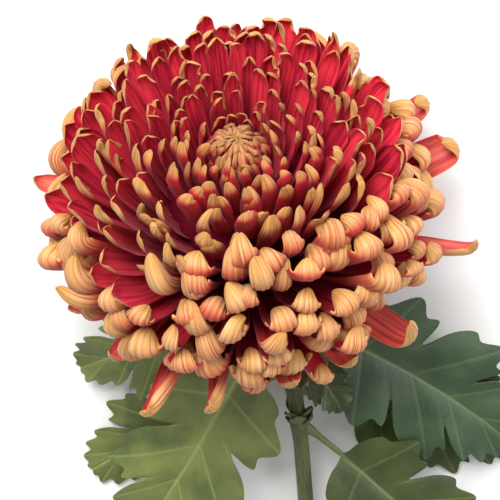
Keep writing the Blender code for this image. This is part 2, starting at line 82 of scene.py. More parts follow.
def soft(value: float, low: float, high: float) -> float:
    """A gentle step from 0 at low to 1 at high."""
    return ease((value - low) / (high - low))


def vary(draw: random.Random, spread: float) -> float:
    """A seeded random amount, mostly under spread and never over twice that."""
    return clamp(draw.gauss(0, 1), -2, 2) * spread


def on_floor(height: float, band: float = 0.004) -> float:
    """Keeps a height above the floor: what would sink in bends over a band and then lies flat.

    Args:
        height: The height that the free shape would have.
        band: The height over which it bends.

    Returns:
        The height that it has as it rests on the floor.
    """
    if height >= band:
        return height
    if height <= -band:
        return 0.0
    return (height + band) ** 2 / (4 * band)


def spline(knots: Sequence[Any], k: int, u: float) -> Any:
    """A place on the smooth curve through some knots.

    Args:
        knots: Vectors or arrays, with one more at each end than the curve runs through.
        k: The number of the stretch between two knots.
        u: The share of the way along that stretch.

    Returns:
        The place.
    """
    a, b, c, d = knots[k : k + 4]
    bent = (2 * a - 5 * b + 4 * c - d) * u**2 + (3 * b - a - 3 * c + d) * u**3
    return (2 * b + (c - a) * u + bent) / 2


class Side(Enum):
    """The two faces of a petal, as the slots of its materials."""

    INNER = 0
    OUTER = 1


class Paint:
    """A material's node tree, built one node at a time."""

    def __init__(self, name: str) -> None:
        """Starts a material with the plain shader.

        Args:
            name: The material's name.
        """
        self.material = bpy.data.materials.new(name)
        self.material.use_nodes = True
        self.tree = self.material.node_tree
        self.shader = self.tree.nodes["Principled BSDF"]

    def feed(self, socket: Socket, value: Any) -> None:
        """Links another socket to this one, or sets its number or colour.

        Args:
            socket: The socket that is fed.
            value: Another socket, a number or a colour.
        """
        if isinstance(value, Socket):
            self.tree.links.new(value, socket)
        else:
            socket.default_value = (*value, 1.0) if isinstance(value, tuple) else value

    def node(self, kind: str, inputs: dict[Any, Any], **settings: Any) -> bpy.types.Node:
        """Adds a node.

        Args:
            kind: The name of the kind of node.
            inputs: What each input gets, by the input's name or number.
            settings: The node's own settings.

        Returns:
            The node.
        """
        made = self.tree.nodes.new(kind)
        for name, value in settings.items():
            setattr(made, name, value)
        for key, value in inputs.items():
            self.feed(made.inputs[key], value)
        return made

    def math(self, operation: str, *numbers: Any) -> Socket:
        """The result of one sum, by the name of its operation."""
        return self.node("ShaderNodeMath", dict(enumerate(numbers)), operation=operation).outputs[0]

    def times(self, a: Any, b: Any) -> Socket:
        """One number times another."""
        return self.math("MULTIPLY", a, b)

    def plus(self, a: Any, b: Any) -> Socket:
        """The sum of two numbers."""
        return self.math("ADD", a, b)

    def minus(self, a: Any, b: Any) -> Socket:
        """One number less another."""
        return self.math("SUBTRACT", a, b)

    def more(self, least: float, span: float, share: Any) -> Socket:
        """A number that is least at share 0 and a span more at share 1."""
        return self.plus(self.times(share, span), least)

    def step(self, value: Any, low: float, high: float, top: float = 1.0) -> Socket:
        """A soft step from 0 at low to top at high."""
        inputs = {"Value": value, "From Min": low, "From Max": high, "To Max": top}
        return self.node("ShaderNodeMapRange", inputs, interpolation_type="SMOOTHSTEP").outputs[0]

    def blend(self, share: Any, a: Any, b: Any) -> Socket:
        """A colour between two others."""
        return self.node("ShaderNodeMix", {0: share, 6: a, 7: b}, data_type="RGBA").outputs[2]

    def read(self, name: str) -> list[Socket]:
        """The three numbers that the mesh stores under a name."""
        stored = self.node("ShaderNodeAttribute", {}, attribute_name=name).outputs["Vector"]
        return list(self.node("ShaderNodeSeparateXYZ", {0: stored}).outputs)

    def stretched(self, values: Sequence[Socket], scales: Sequence[float]) -> Socket:
        """A place made of three numbers, each times its scale."""
        scaled = [self.times(value, scale) for value, scale in zip(values, scales)]
        return self.node("ShaderNodeCombineXYZ", dict(enumerate(scaled))).outputs[0]

    def place(self) -> Socket:
        """The place on the object."""
        return self.node("ShaderNodeTexCoord", {}).outputs["Object"]

    def noise(self, place: Socket, scale: float, detail: float = 3.0) -> Socket:
        """A cloud of noise, about 0.5 in the middle."""
        inputs = {"Vector": place, "Scale": scale, "Detail": detail}
        return self.node("ShaderNodeTexNoise", inputs).outputs["Fac"]

    def relief(self, height: Socket, depth: float) -> None:
        """Gives the surface a fine relief of the given depth."""
        inputs = {"Height": height, "Distance": depth, "Strength": 1.0}
        self.feed(self.shader.inputs["Normal"], self.node("ShaderNodeBump", inputs).outputs[0])

    def finish(self, colour: Socket, roughness: Any, **fixed: float) -> Material:
        """Sets the shader's colour, roughness and fixed values.

        Args:
            colour: The socket of the colour.
            roughness: A number or the socket of one.
            fixed: Values of the shader's own sockets, by their names with _ for a blank.

        Returns:
            The finished material.
        """
        self.feed(self.shader.inputs["Base Color"], colour)
        self.feed(self.shader.inputs["Roughness"], roughness)
        for name, value in fixed.items():
            self.shader.inputs[name.replace("_", " ")].default_value = value
        return self.material


@dataclass(frozen=True)
class PetalFace:
    """The upper face of the petals: velvety crimson, veined lengthwise, with gold at the tip's rim and
    painted shade darkening it towards the root.

    The pairs say where a change starts and ends: in the veins' noise, along the petal from 0 at its
    root to 2 at its tip, or across it from 0 in the middle to 1 at the edge.
    """

    name: str = "petal_crimson"
    deep: Colour = (0.36, 0.0024, 0.031)
    bright: Colour = (0.86, 0.043, 0.073)
    # Painted shade: the crimson darkens to this colour towards the petal's root, deep in the bloom.
    base: Colour = (0.16, 0.0012, 0.012)
    rim: Colour = (0.78, 0.455, 0.160)
    vein_scales: tuple[float, float, float] = (3.2, 0.7, 40.0)
    veins: tuple[float, float] = (0.36, 0.64)
    vein_share: float = 0.75
    tone_share: float = 0.40
    root_shade_along: tuple[float, float] = (0.20, 1.05)
    rim_across: tuple[float, float] = (0.90, 0.99)
    rim_along: tuple[float, float] = (1.75, 1.93)
    tip_along: tuple[float, float] = (1.92, 2.0)
    closed_across: float = 0.22
    closed_along: float = 0.75
    vein_depth: float = 0.00016

    def material(self) -> Material:
        """Builds the material, whose gold rim is wider and longer on closed petals.

        Returns:
            The finished material.
        """
        paint = Paint(self.name)
        across, along, tone = paint.read("petal")
        closed = paint.read("mark")[2]
        veins = paint.noise(paint.stretched((across, along, tone), self.vein_scales), 1.6, 4.0)
        glow = paint.step(veins, *self.veins, self.vein_share)
        red = paint.blend(paint.plus(glow, paint.times(tone, self.tone_share)), self.deep, self.bright)
        # Painted shade: the red darkens towards the petal's root, where the bloom is in shade.
        red = paint.blend(paint.step(along, *self.root_shade_along), self.base, red)
        width = paint.plus(paint.math("ABSOLUTE", across), paint.times(closed, self.closed_across))
        nearness = paint.plus(along, paint.times(closed, self.closed_along))
        side = paint.times(paint.step(width, *self.rim_across), paint.step(nearness, *self.rim_along))
        rim = paint.math("MAXIMUM", side, paint.step(along, *self.tip_along))
        paint.relief(veins, self.vein_depth)
        rough = paint.more(0.38, 0.2, veins)
        fixed = {"Specular_IOR_Level": 0.3, "Sheen_Weight": 0.12, "Sheen_Roughness": 0.35}
        return paint.finish(paint.blend(rim, red, self.rim), rough, **fixed)


@dataclass(frozen=True)
class PetalBack:
    """The back of the petals: gold tips, paler ridges, fine red-brown lines and a salmon flush.

    The pairs under the colours say where a change starts and ends: down from the tip, in the noise,
    or, for the salmon and the crimson, as a share of how far the petal's flush keeps off its tip. A
    third number is how strong it gets.
    """

    name: str = "petal_gold"
    gold: Colour = (0.62, 0.322, 0.076)
    pale: Colour = (0.76, 0.468, 0.200)
    tan: Colour = (0.40, 0.200, 0.078)
    salmon: Colour = (0.60, 0.100, 0.048)
    line: Colour = (0.36, 0.060, 0.024)
    crimson: Colour = (0.40, 0.009, 0.022)
    streak_scales: tuple[float, float, float] = (11.0, 0.6, 60.0)
    pale_down: tuple[float, float] = (0.08, 0.50)
    pale_clouds: tuple[float, float] = (0.25, 0.60)
    tan_share: float = 0.55
    flush_reach: float = 1.35
    salmon_flush: tuple[float, float, float] = (0.25, 0.95, 0.9)
    crimson_flush: tuple[float, float] = (0.58, 1.10)
    grooves: tuple[float, float, float] = (0.72, 1.0, 0.5)
    line_streaks: tuple[float, float] = (0.50, 0.66)
    line_clouds: tuple[float, float] = (0.12, 0.52)
    line_down: tuple[float, float, float] = (0.0, 0.8, 0.30)
    line_share: float = 0.60
    line_blush: float = 0.35
    streak_depth: float = 0.00060

    def material(self) -> Material:
        """Builds the material.

        Returns:
            The finished material.
        """
        paint = Paint(self.name)
        across, along, tone = paint.read("petal")
        blush, ridges, _ = paint.read("mark")
        spot = paint.stretched((across, along, tone), self.streak_scales)
        streaks = paint.noise(spot, 1.0, 3.0)
        clouds = paint.noise(spot, 0.4, 2.0)
        down = paint.minus(2.0, along)
        flush = paint.math("DIVIDE", down, paint.minus(self.flush_reach, blush))
        cream = paint.times(paint.step(down, *self.pale_down), paint.step(clouds, *self.pale_clouds))
        ground = paint.blend(cream, self.gold, self.pale)
        ground = paint.blend(paint.times(tone, self.tan_share), ground, self.tan)
        ground = paint.blend(paint.step(flush, *self.salmon_flush), ground, self.salmon)
        wave = paint.times(paint.plus(across, 1.0), paint.times(ridges, math.pi))
        groove = paint.step(paint.math("COSINE", wave), *self.grooves)
        lines = paint.math("MAXIMUM", groove, paint.step(streaks, *self.line_streaks))
        lines = paint.times(lines, paint.step(clouds, *self.line_clouds))
        strength = paint.plus(paint.step(down, *self.line_down), paint.times(blush, self.line_blush))
        strength = paint.plus(strength, self.line_share)
        colour = paint.blend(paint.times(lines, strength), ground, self.line)
        colour = paint.blend(paint.step(flush, *self.crimson_flush), colour, self.crimson)
        paint.relief(streaks, self.streak_depth)
        rough = paint.more(0.40, 0.2, streaks)
        fixed = {"Specular_IOR_Level": 0.3, "Sheen_Weight": 0.10, "Sheen_Roughness": 0.4}
        return paint.finish(colour, rough, **fixed)


@dataclass(frozen=True)
class PetalBases:
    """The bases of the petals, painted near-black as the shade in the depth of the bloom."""

    name: str = "petal_bases_painted_shade"
    # Painted shade: near-black reds that stand in for the shade deep inside the bloom.
    dark: Colour = (0.07, 0.0010, 0.008)
    light: Colour = (0.16, 0.0025, 0.016)

    def material(self) -> Material:
        """Builds the material.

        Returns:
            The finished material.
        """
        paint = Paint(self.name)
        grain = paint.noise(paint.place(), 700.0)
        paint.relief(grain, 0.0004)
        # Painted shade: the bases get a dark mottled red in place of the shade between the petals.
        return paint.finish(paint.blend(grain, self.dark, self.light), 0.8, Specular_IOR_Level=0.1)


@dataclass(frozen=True)
class GreenSkin:
    """The skin of the stem and of the cup: green, streaked lengthwise and finely downy."""

    name: str
    light: Colour
    dark: Colour
    streak_scales: tuple[float, float, float] = (9.0, 3.0, 1.0)
    relief: float = 0.00012

    def material(self) -> Material:
        """Builds the material.

        Returns:
            The finished material.
        """
        paint = Paint(self.name)
        streaks = paint.noise(paint.stretched(paint.read("petal"), self.streak_scales), 2.0, 4.0)
        down = paint.noise(paint.place(), 1400.0, 2.0)
        colour = paint.blend(paint.step(streaks, 0.3, 0.7), self.dark, self.light)
        paint.relief(paint.plus(streaks, paint.times(down, 0.5)), self.relief)
        return paint.finish(colour, paint.more(0.42, 0.2, down))


@dataclass(frozen=True)
class CutEnd:
    """The cut end of the stem: pale moist pith in a green ring."""

    name: str = "stem_pith"
    pith: Colour = (0.62, 0.66, 0.42)
    ring: Colour = (0.22, 0.33, 0.10)

    def material(self) -> Material:
        """Builds the material.

        Returns:
            The finished material.
        """
        paint = Paint(self.name)
        radius = paint.read("petal")[0]
        grain = paint.noise(paint.place(), 2600.0, 2.0)
        ringed = paint.blend(paint.step(radius, 0.72, 0.86), self.pith, self.ring)
        paint.relief(grain, 0.0001)
        return paint.finish(paint.blend(paint.times(grain, 0.35), ringed, self.ring), 0.5)


@dataclass(frozen=True)
class LeafFinish:
    """A leaf blade: darker green between its pale veins, with a finely netted, slightly waxy skin.

    The pairs say how far from a vein, in millimetres on a large leaf, its colour starts and ends.
    """

    name: str
    light: Colour
    dark: Colour
    vein: Colour
    side_share: float = 0.35
    under: Colour = (0.16, 0.21, 0.10)
    middle_band: tuple[float, float] = (0.25, 1.3)
    side_band: tuple[float, float] = (0.1, 0.95)
    glow_band: tuple[float, float] = (0.5, 7.0)
    middle_share: float = 0.8
    glow_share: float = 0.22
    net_share: float = 0.07
    net_scale: float = 900.0
    relief: float = 0.00007

    def material(self) -> Material:
        """Builds the material.

        Returns:
            The finished material.
        """
        paint = Paint(self.name)
        middle, side, below = paint.read("vein")
        place = paint.place()
        clouds = paint.noise(place, 55.0, 4.0)
        inputs = {"Vector": place, "Scale": self.net_scale}
        cells = paint.node("ShaderNodeTexVoronoi", inputs, feature="DISTANCE_TO_EDGE")
        net = paint.step(cells.outputs["Distance"], 0.0, 0.2)
        green = paint.blend(paint.step(clouds, 0.32, 0.68), self.dark, self.light)
        for far, share in (
            (paint.step(middle, *self.glow_band), self.glow_share),
            (net, self.net_share),
            (paint.step(side, *self.side_band), self.side_share),
            (paint.step(middle, *self.middle_band), self.middle_share),
        ):
            green = paint.blend(paint.times(paint.minus(1.0, far), share), green, self.vein)
        colour = paint.blend(paint.times(below, 0.8), green, self.under)
        grain = paint.noise(place, self.net_scale, 2.0)
        paint.relief(paint.plus(paint.times(net, 0.6), grain), self.relief)
        return paint.finish(colour, paint.more(0.30, 0.25, clouds), Specular_IOR_Level=0.45)


@dataclass(frozen=True)
class StudioFloor:
    """The pale floor of the studio, very slightly mottled."""

    name: str = "studio_floor"
    pale: Colour = (0.94, 0.935, 0.935)
    shade: Colour = (0.90, 0.895, 0.90)

    def material(self) -> Material:
        """Builds the material."""
        paint = Paint(self.name)
        return paint.finish(paint.blend(paint.noise(paint.place(), 3.0), self.pale, self.shade), 0.8)


class Skin:
    """The points and faces of one piece, with the values that its finish reads at each point."""

    def __init__(self, name: str, stored: str = "petal") -> None:
        """Starts an empty piece.

        Args:
            name: The name of the piece.
            stored: The name under which its finish reads its values.
        """
        self.name = name
        self.stored = stored
        self.points: list[np.ndarray] = []
        self.values: list[np.ndarray] = []
        self.marks: list[np.ndarray] = []
        self.faces: list[tuple[int, ...]] = []
        self.slots: list[int] = []
        self.count = 0

    def add_points(self, points: np.ndarray, values: np.ndarray, mark: Sequence[float] = (0, 6, 0)) -> int:
        """Adds points.

        Args:
            points: One row for each point.
            values: The three painted values of each point.
            mark: How far the finish is flushed at all of them, how many ridges it has, and whether
                it is that of a closed petal.

        Returns:
            The number of the first of them.
        """
        first = self.count
        self.points.append(points)
        self.values.append(values)
        self.marks.append(np.tile(mark, (len(points), 1)).astype(float))
        self.count += len(points)
        return first

    def add_face(self, face: tuple[int, ...], slot: int = 0, flip: bool = False) -> None:
        """Adds one face, the other way round where it is flipped."""
        self.faces.append(face[::-1] if flip else face)
        self.slots.append(slot)

    def add_cap(self, first: int, sides: int, slot: int = 0, flip: bool = False) -> None:
        """Closes the ring that starts with a point."""
        self.add_face(tuple(range(first, first + sides)), slot, flip)

    def add_grid(
        self, first: int, rows: int, columns: int, slot: int = 0, flip: bool = False, ring: bool = False
    ) -> None:
        """Adds the faces of a grid of points.

        Args:
            first: The number of the grid's first point.
            rows: How many rows the grid has.
            columns: How many points a row has.
            slot: The slot of their material.
            flip: Whether the faces look the other way.
            ring: Whether each row closes on itself.
        """
        for row in range(rows - 1):
            for k in range(columns if ring else columns - 1):
                a = first + row * columns + k
                b = first + row * columns + (k + 1) % columns
                self.add_face((a, b, b + columns, a + columns), slot, flip)

    def add_tube(
        self, rings: Sequence[Sequence[Vector]], values: Sequence[Sequence[float]], flip: bool = False
    ) -> int:
        """Adds rings of points, joined into a tube.

        Args:
            rings: The points of each ring.
            values: The three painted values of each point, ring by ring.
            flip: Whether the faces look the other way.

        Returns:
            The number of the first point.
        """
        points = np.array([place[:] for ring in rings for place in ring])
        first = self.add_points(points, np.array(values))
        self.add_grid(first, len(rings), len(rings[0]), 0, flip, ring=True)
        return first

    def add_turned(
        self, profile: Sequence[tuple[float, float]], lay: Matrix, flute: float, sides: int = 48
    ) -> None:
        """Adds a solid of revolution about the bloom's axis.

        Args:
            profile: (radius, height) from the top of the axis to its bottom.
            lay: The matrix that lays it down.
            flute: The depth of its lengthwise ribs, as a share of the radius.
            sides: How many sides it has, four for each rib.
        """
        rings, values = [], []
        for k, (radius, height) in enumerate(profile):
            ring = []
            for side in range(sides):
                angle = 2 * math.pi * side / sides
                ribbed = radius * (1 - flute * (0.5 + 0.5 * math.cos(sides / 4 * angle)))
                place = Vector((ribbed * math.cos(angle), ribbed * math.sin(angle), height))
                ring.append(lay @ place)
                values.append((4 * side / sides, k / len(profile), 0.5))
            rings.append(ring)
        self.add_tube(rings, values, flip=True)

    def make(self, slot: str, nodes: Sequence[str], materials: Sequence[Material]) -> None:
        """Makes the piece and fixes it to the frame.

        Args:
            slot: The record's slot for the piece, which is not used.
            nodes: The solids that it stands for.
            materials: Its materials, in the order of the slots.
        """
        mesh = bpy.data.meshes.new(self.name)
        mesh.from_pydata(np.concatenate(self.points).tolist(), [], self.faces)
        for material in materials:
            mesh.materials.append(material)
        mesh.polygons.foreach_set("material_index", self.slots)
        for name, rows in ((self.stored, self.values), ("mark", self.marks)):
            layer = mesh.attributes.new(name, "FLOAT_VECTOR", "POINT")
            layer.data.foreach_set("vector", np.concatenate(rows).astype(np.float32).ravel())
        mesh.shade_smooth()
        mesh.set_sharp_from_angle(angle=math.radians(55))
        piece = bpy.data.objects.new(self.name, mesh)
        bpy.context.scene.collection.objects.link(piece)
        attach(piece, BODY)
        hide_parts(*nodes)
        LOG.info("%s: %d triangles", self.name, sum(len(face) - 2 for face in self.faces))


@dataclass
class Petal:
    """One petal: a bowed shaft in a plane through the axis, and then a tip that curls inwards.

    A place along it is t: 0 at the root, 1 where the shaft ends and 2 at the tip. The root and the
    start of the curl are (radius, height) about the axis.
    """

    azimuth: float
    half_width: float
    curl: float
    curl_length: float
    bow: float
    fold: float
    rolled_in: float
    polar: float = 0.0
    root: tuple[float, float] = (0.0, 0.0)
    start: tuple[float, float] = (0.0, 0.0)
    bend_from: float = 0.0
    bend_to: float = 1.0
    rolls_from: float = 0.5
    rolls_to: float = 1.9
    fold_limit: float = 168
    widest: float = 1.1
    turn: float = 0.0
    side_bend: float = 0.0
    roll: float = 0.0
    bluntness: float = 2.4
    taper: float = 0.15
    narrow: float = 0.30
    ridges: int = 6
    ridge_depth: float = 0.0
    thickness: float = 0.0004
    tone: float = 0.5
    blush: float = 0.0

    def shaft(self, share: float) -> Frame:
        """The place, the ways along, across and inwards, and t, at a share of the shaft.

        Args:
            share: The share of the way from the root to the start of the curl.

        Returns:
            The frame, turned about itself more and more on its way out.
        """
        (r0, z0), (r1, z1) = self.root, self.start
        chord = math.hypot(r1 - r0, z1 - z0)
        aim = math.atan2(r1 - r0, z1 - z0)
        bow = math.radians(self.bow if abs(self.bow) > 0.1 else 0.1)
        angle = aim + bow - 2 * bow * share
        arc = chord / (2 * math.sin(bow))
        r = r0 + arc * (math.cos(angle) - math.cos(aim + bow))
        z = z0 - arc * (math.sin(angle) - math.sin(aim + bow))
        out = Vector((math.cos(self.azimuth), math.sin(self.azimuth), 0))
        across = Vector((-math.sin(self.azimuth), math.cos(self.azimuth), 0))
        along = out * math.sin(angle) + UP * math.cos(angle)
        inward = UP * math.sin(angle) - out * math.cos(angle)
        turn = Matrix.Rotation(math.radians(self.turn) * ease(share), 3, along)
        return out * r + UP * z, along, turn @ across, turn @ inward, share

    def frames(self, begin: float, shaft_steps: int, curl_steps: int) -> list[Frame]:
        """Frames from a share of the shaft to the tip, closer together towards the tip.

        Args:
            begin: The share of the shaft where the frames start.
            shaft_steps: How many steps the shaft has.
            curl_steps: How many steps the curl has.

        Returns:
            The frames.
        """
        found = [self.shaft(mix(begin, 1.0, k / shaft_steps)) for k in range(shaft_steps + 1)]
        place, along, across, inward, _ = found[-1]
        shares = [1 - (1 - k / curl_steps) ** 1.35 for k in range(curl_steps + 1)]
        for low, high in zip(shares, shares[1:]):
            step = high - low
            bend = math.radians(self.turned(low) - self.turned(high))
            drift = math.radians(self.side_bend) * 1.5 * (low + high) / 2 * step
            middle = Matrix.Rotation(bend / 2, 3, across) @ along
            place = place + middle * (self.curl_length * step)
            turn = Matrix.Rotation(drift, 3, inward) @ Matrix.Rotation(bend, 3, across)
            along, across, inward = turn @ along, turn @ across, turn @ inward
            found.append((place, along, across, inward, 1 + high))
        return [self.rolled(*one) for one in found]

    def rolled(self, place: Vector, along: Vector, across: Vector, inward: Vector, t: float) -> Frame:
        """The frame turned about its own direction, more and more towards the tip."""
        spin = Matrix.Rotation(math.radians(self.roll) * t / 2, 3, along)
        return place, along, spin @ across, spin @ inward, t

    def turned(self, share: float) -> float:
        """How many degrees the curl has turned through at a share of its length."""
        return self.curl * mix(share, soft(share, self.bend_from, self.bend_to), 0.85)

    def reach(self, steps: int = 20) -> float:
        """How far the curl goes on outwards from its start before it turns back.

        Args:
            steps: How finely the curl is divided.

        Returns:
            The length.
        """
        angles = [math.radians(self.turned((k + 0.5) / steps)) for k in range(steps)]
        return self.curl_length / steps * sum(max(0.0, math.cos(angle)) for angle in angles)

    def width_at(self, t: float) -> float:
        """Half of the width, measured round the fold.

        Args:
            t: The place along the petal.

        Returns:
            The width, which grows to its widest just past the shaft and ends in a round tip.
        """
        if t < self.widest:
            return self.half_width * mix(self.narrow, 1.0, soft(t, 0, self.widest))
        share = (t - self.widest) / (2 - self.widest)
        rounded = max(0.0, 1 - share**self.bluntness) ** 0.5
        return self.half_width * rounded * (1 - self.taper * share)

    def fold_at(self, t: float) -> float:
        """Half of the angle, in radians, that the petal's width bends through at t."""
        fold = mix(self.fold, self.rolled_in, soft(t, self.rolls_from, self.rolls_to))
        return math.radians(min(self.fold_limit, fold))


@dataclass
class PetalLoft:
    """Builds petals as thin closed sheets that lie on the floor where they reach it."""

    lay: Matrix
    begin: float = 0.30
    ridge_columns: int = 3
    shaft_steps: int = 4
    curl_steps: int = 13
    unevenness: float = 0.00020
    closed_fold: float = 44

    def make(
        self, name: str, slot: str, node: str, petals: Sequence[Petal], materials: Sequence[Material]
    ) -> None:
        """Makes one piece of several petals.

        Args:
            name: The name of the piece.
            slot: The record's slot for the piece, which is not used.
            node: The solid that it stands for.
            petals: The petals.
            materials: The materials of the upper face and of the back.
        """
        skin = Skin(name)
        for petal in petals:
            self.add(skin, petal)
        skin.make(slot, [node], materials)

    def points(self, petal: Petal, frames: Sequence[Frame]) -> tuple[np.ndarray, np.ndarray]:
        """The points of a petal's two faces as they lie, with the values for the finish.

        Args:
            petal: The petal.
            frames: Its frames, without the one at the tip.

        Returns:
            A row of points for each frame, first those of the upper face, and one face's values.
        """
        place, across, inward = (np.array([one[k][:] for one in frames])[:, None] for k in (0, 2, 3))
        t = np.array([one[4] for one in frames])[:, None]
        half = np.array([petal.width_at(one[4]) for one in frames])[:, None]
        fold = np.array([petal.fold_at(one[4]) for one in frames])[:, None]
        v = np.linspace(-1, 1, self.ridge_columns * petal.ridges + 1)[None, :]
        bend, angle = half / fold, fold * v
        aim = across * np.sin(angle)[..., None] - inward * np.cos(angle)[..., None]
        full = np.clip((t - 0.5) / 0.7, 0, 1) * half / petal.half_width
        line = petal.ridges * (v + 1) / 2
        ridge = petal.ridge_depth * full * (np.abs(np.sin(math.pi * line)) ** 0.8 - 0.5)
        swell = np.sin(2.1 * v + 3.7 * t + 40 * petal.tone)
        swell = swell * np.clip(t - 0.6, 0, 1) * np.clip(2.1 - t, 0, 1)
        ridge = ridge + self.unevenness * swell * half / petal.half_width
        thick = np.minimum(petal.thickness * (1 - 0.6 * v**2), 0.6 * bend)
        hub = place + inward * bend[..., None]
        upper = hub + aim * (bend - thick / 2 + 0.6 * ridge)[..., None]
        lower = hub + aim * (bend + thick / 2 + ridge)[..., None]
        both = np.concatenate([upper, lower], axis=1)
        laid = both @ np.array(self.lay.to_3x3()).T + np.array(self.lay.translation)
        for row in laid:
            low = row[:, 2].min()
            row[:, 2] += on_floor(low) - low
        values = np.empty((*upper.shape[:2], 3))
        values[..., 0], values[..., 1], values[..., 2] = v, t, petal.tone
        return laid, values.reshape(-1, 3)

    def add(self, skin: Skin, petal: Petal) -> None:
        """Adds a petal to a piece.

        Args:
            skin: The piece.
            petal: The petal.
        """
        *frames, last = petal.frames(self.begin, self.shaft_steps, self.curl_steps)
        laid, values = self.points(petal, frames)
        rows, width = len(frames), laid.shape[1] // 2
        tip = np.array(self.lay @ last[0])[None]
        tip[0, 2] = on_floor(tip[0, 2])
        closed = petal.fold > self.closed_fold
        mark = (petal.blush, petal.ridges, float(closed))
        upper = skin.add_points(laid[:, :width].reshape(-1, 3), values, mark)
        lower = skin.add_points(laid[:, width:].reshape(-1, 3), values, mark)
        end = skin.add_points(tip, np.array([[0.0, 2.0, petal.tone]]), mark)
        inner, outer = Side.INNER.value, Side.OUTER.value
        skin.add_grid(upper, rows, width, inner)
        skin.add_grid(lower, rows, width, outer, flip=True)
        margin = outer if closed else inner
        for row in range(rows - 1):
            a, b = row * width, (row + 1) * width
            c, d = a + width - 1, b + width - 1
            skin.add_face((upper + a, upper + b, lower + b, lower + a), margin)
            skin.add_face((upper + d, upper + c, lower + c, lower + d), margin)
        top, under = upper + (rows - 1) * width, lower + (rows - 1) * width
        for k in range(width - 1):
            skin.add_face((top + k, top + k + 1, end), outer)
            skin.add_face((under + k + 1, under + k, end), outer)
        skin.add_face((top, end, under), outer)
        skin.add_face((end, top + width - 1, under + width - 1), outer)
        root = (*range(upper + width - 1, upper - 1, -1), *range(lower, lower + width))
        skin.add_face(root, outer)


@dataclass(frozen=True)
class Habit:
    """A way in which a petal closes. The last three angles are how much the petals of it differ."""

    half_width: float
    curl: float
    curl_length: float
    bow: float
    fold: float
    rolled_in: float
    rolls_from: float
    bend_from: float
    bend_to: float
    bluntness: float
    taper: float
    narrow: float
    ridge_depth: float
    ridges: float
    upturn: float
    curl_spread: float
    side_spread: float
    roll_spread: float

    def towards(self, other: "Habit", share: float) -> "Habit":
        """A habit between this one and another."""
        return Habit(*(mix(a, b, share) for a, b in zip(astuple(self), astuple(other))))


# Closed quills round the button, and the slimmer ones above it
YOUNG = Habit(0.0026, 54, 0.0090, 6, 60, 100, 0.6, 0.10, 0.90, 3.2, 0.10, 0.36, 0.00030, 4, 0, 22, 44, 34)
SLIM = Habit(0.0031, 38, 0.0084, 12, 42, 78, 0.8, 0.35, 1.00, 2.6, 0.08, 0.46, 0.00012, 4, -24, 12, 24, 22)

# Open petals: hooded above, spoon-like at the sides, and here and there a rolled finger
OPEN = Habit(0.0043, 70, 0.0120, 18, 38, 80, 1.0, 0.40, 1.00, 2.5, 0.04, 0.56, 0.00012, 3, 8, 18, 34, 40)
SPOON = Habit(0.0053, 30, 0.0120, 22, 34, 64, 1.0, 0.50, 1.00, 2.5, 0.04, 0.56, 0.00012, 3, -26, 14, 26, 26)
FINGER = Habit(0.0040, 58, 0.0130, 15, 40, 140, 0.9, 0.30, 1.00, 3.6, 0.06, 0.50, 0.0002, 4, 16, 16, 30, 26)

# Closed petals of the front and the rim: long curled bands and short claws
BAND = Habit(0.0059, 120, 0.0210, 16, 62, 90, 0.5, 0.12, 1.00, 4.2, 0.04, 0.32, 0.00036, 6, 64, 18, 24, 28)
CLAW = Habit(0.0064, 152, 0.0150, 20, 50, 84, 0.6, 0.05, 0.78, 3.6, 0.04, 0.26, 0.00038, 6, 34, 22, 42, 34)


@dataclass(frozen=True)
class GuardPlace:
    """Where a guard petal points, how far it reaches and how its end turns up."""

    azimuth: int
    polar: int
    reach: float
    curl: float = 110
    bend_from: float = 0.55
    length: float = 0.022
    side_bend: float = 0
    roll: float = 0
    fold: float = 50
    breadth: float = 1.0


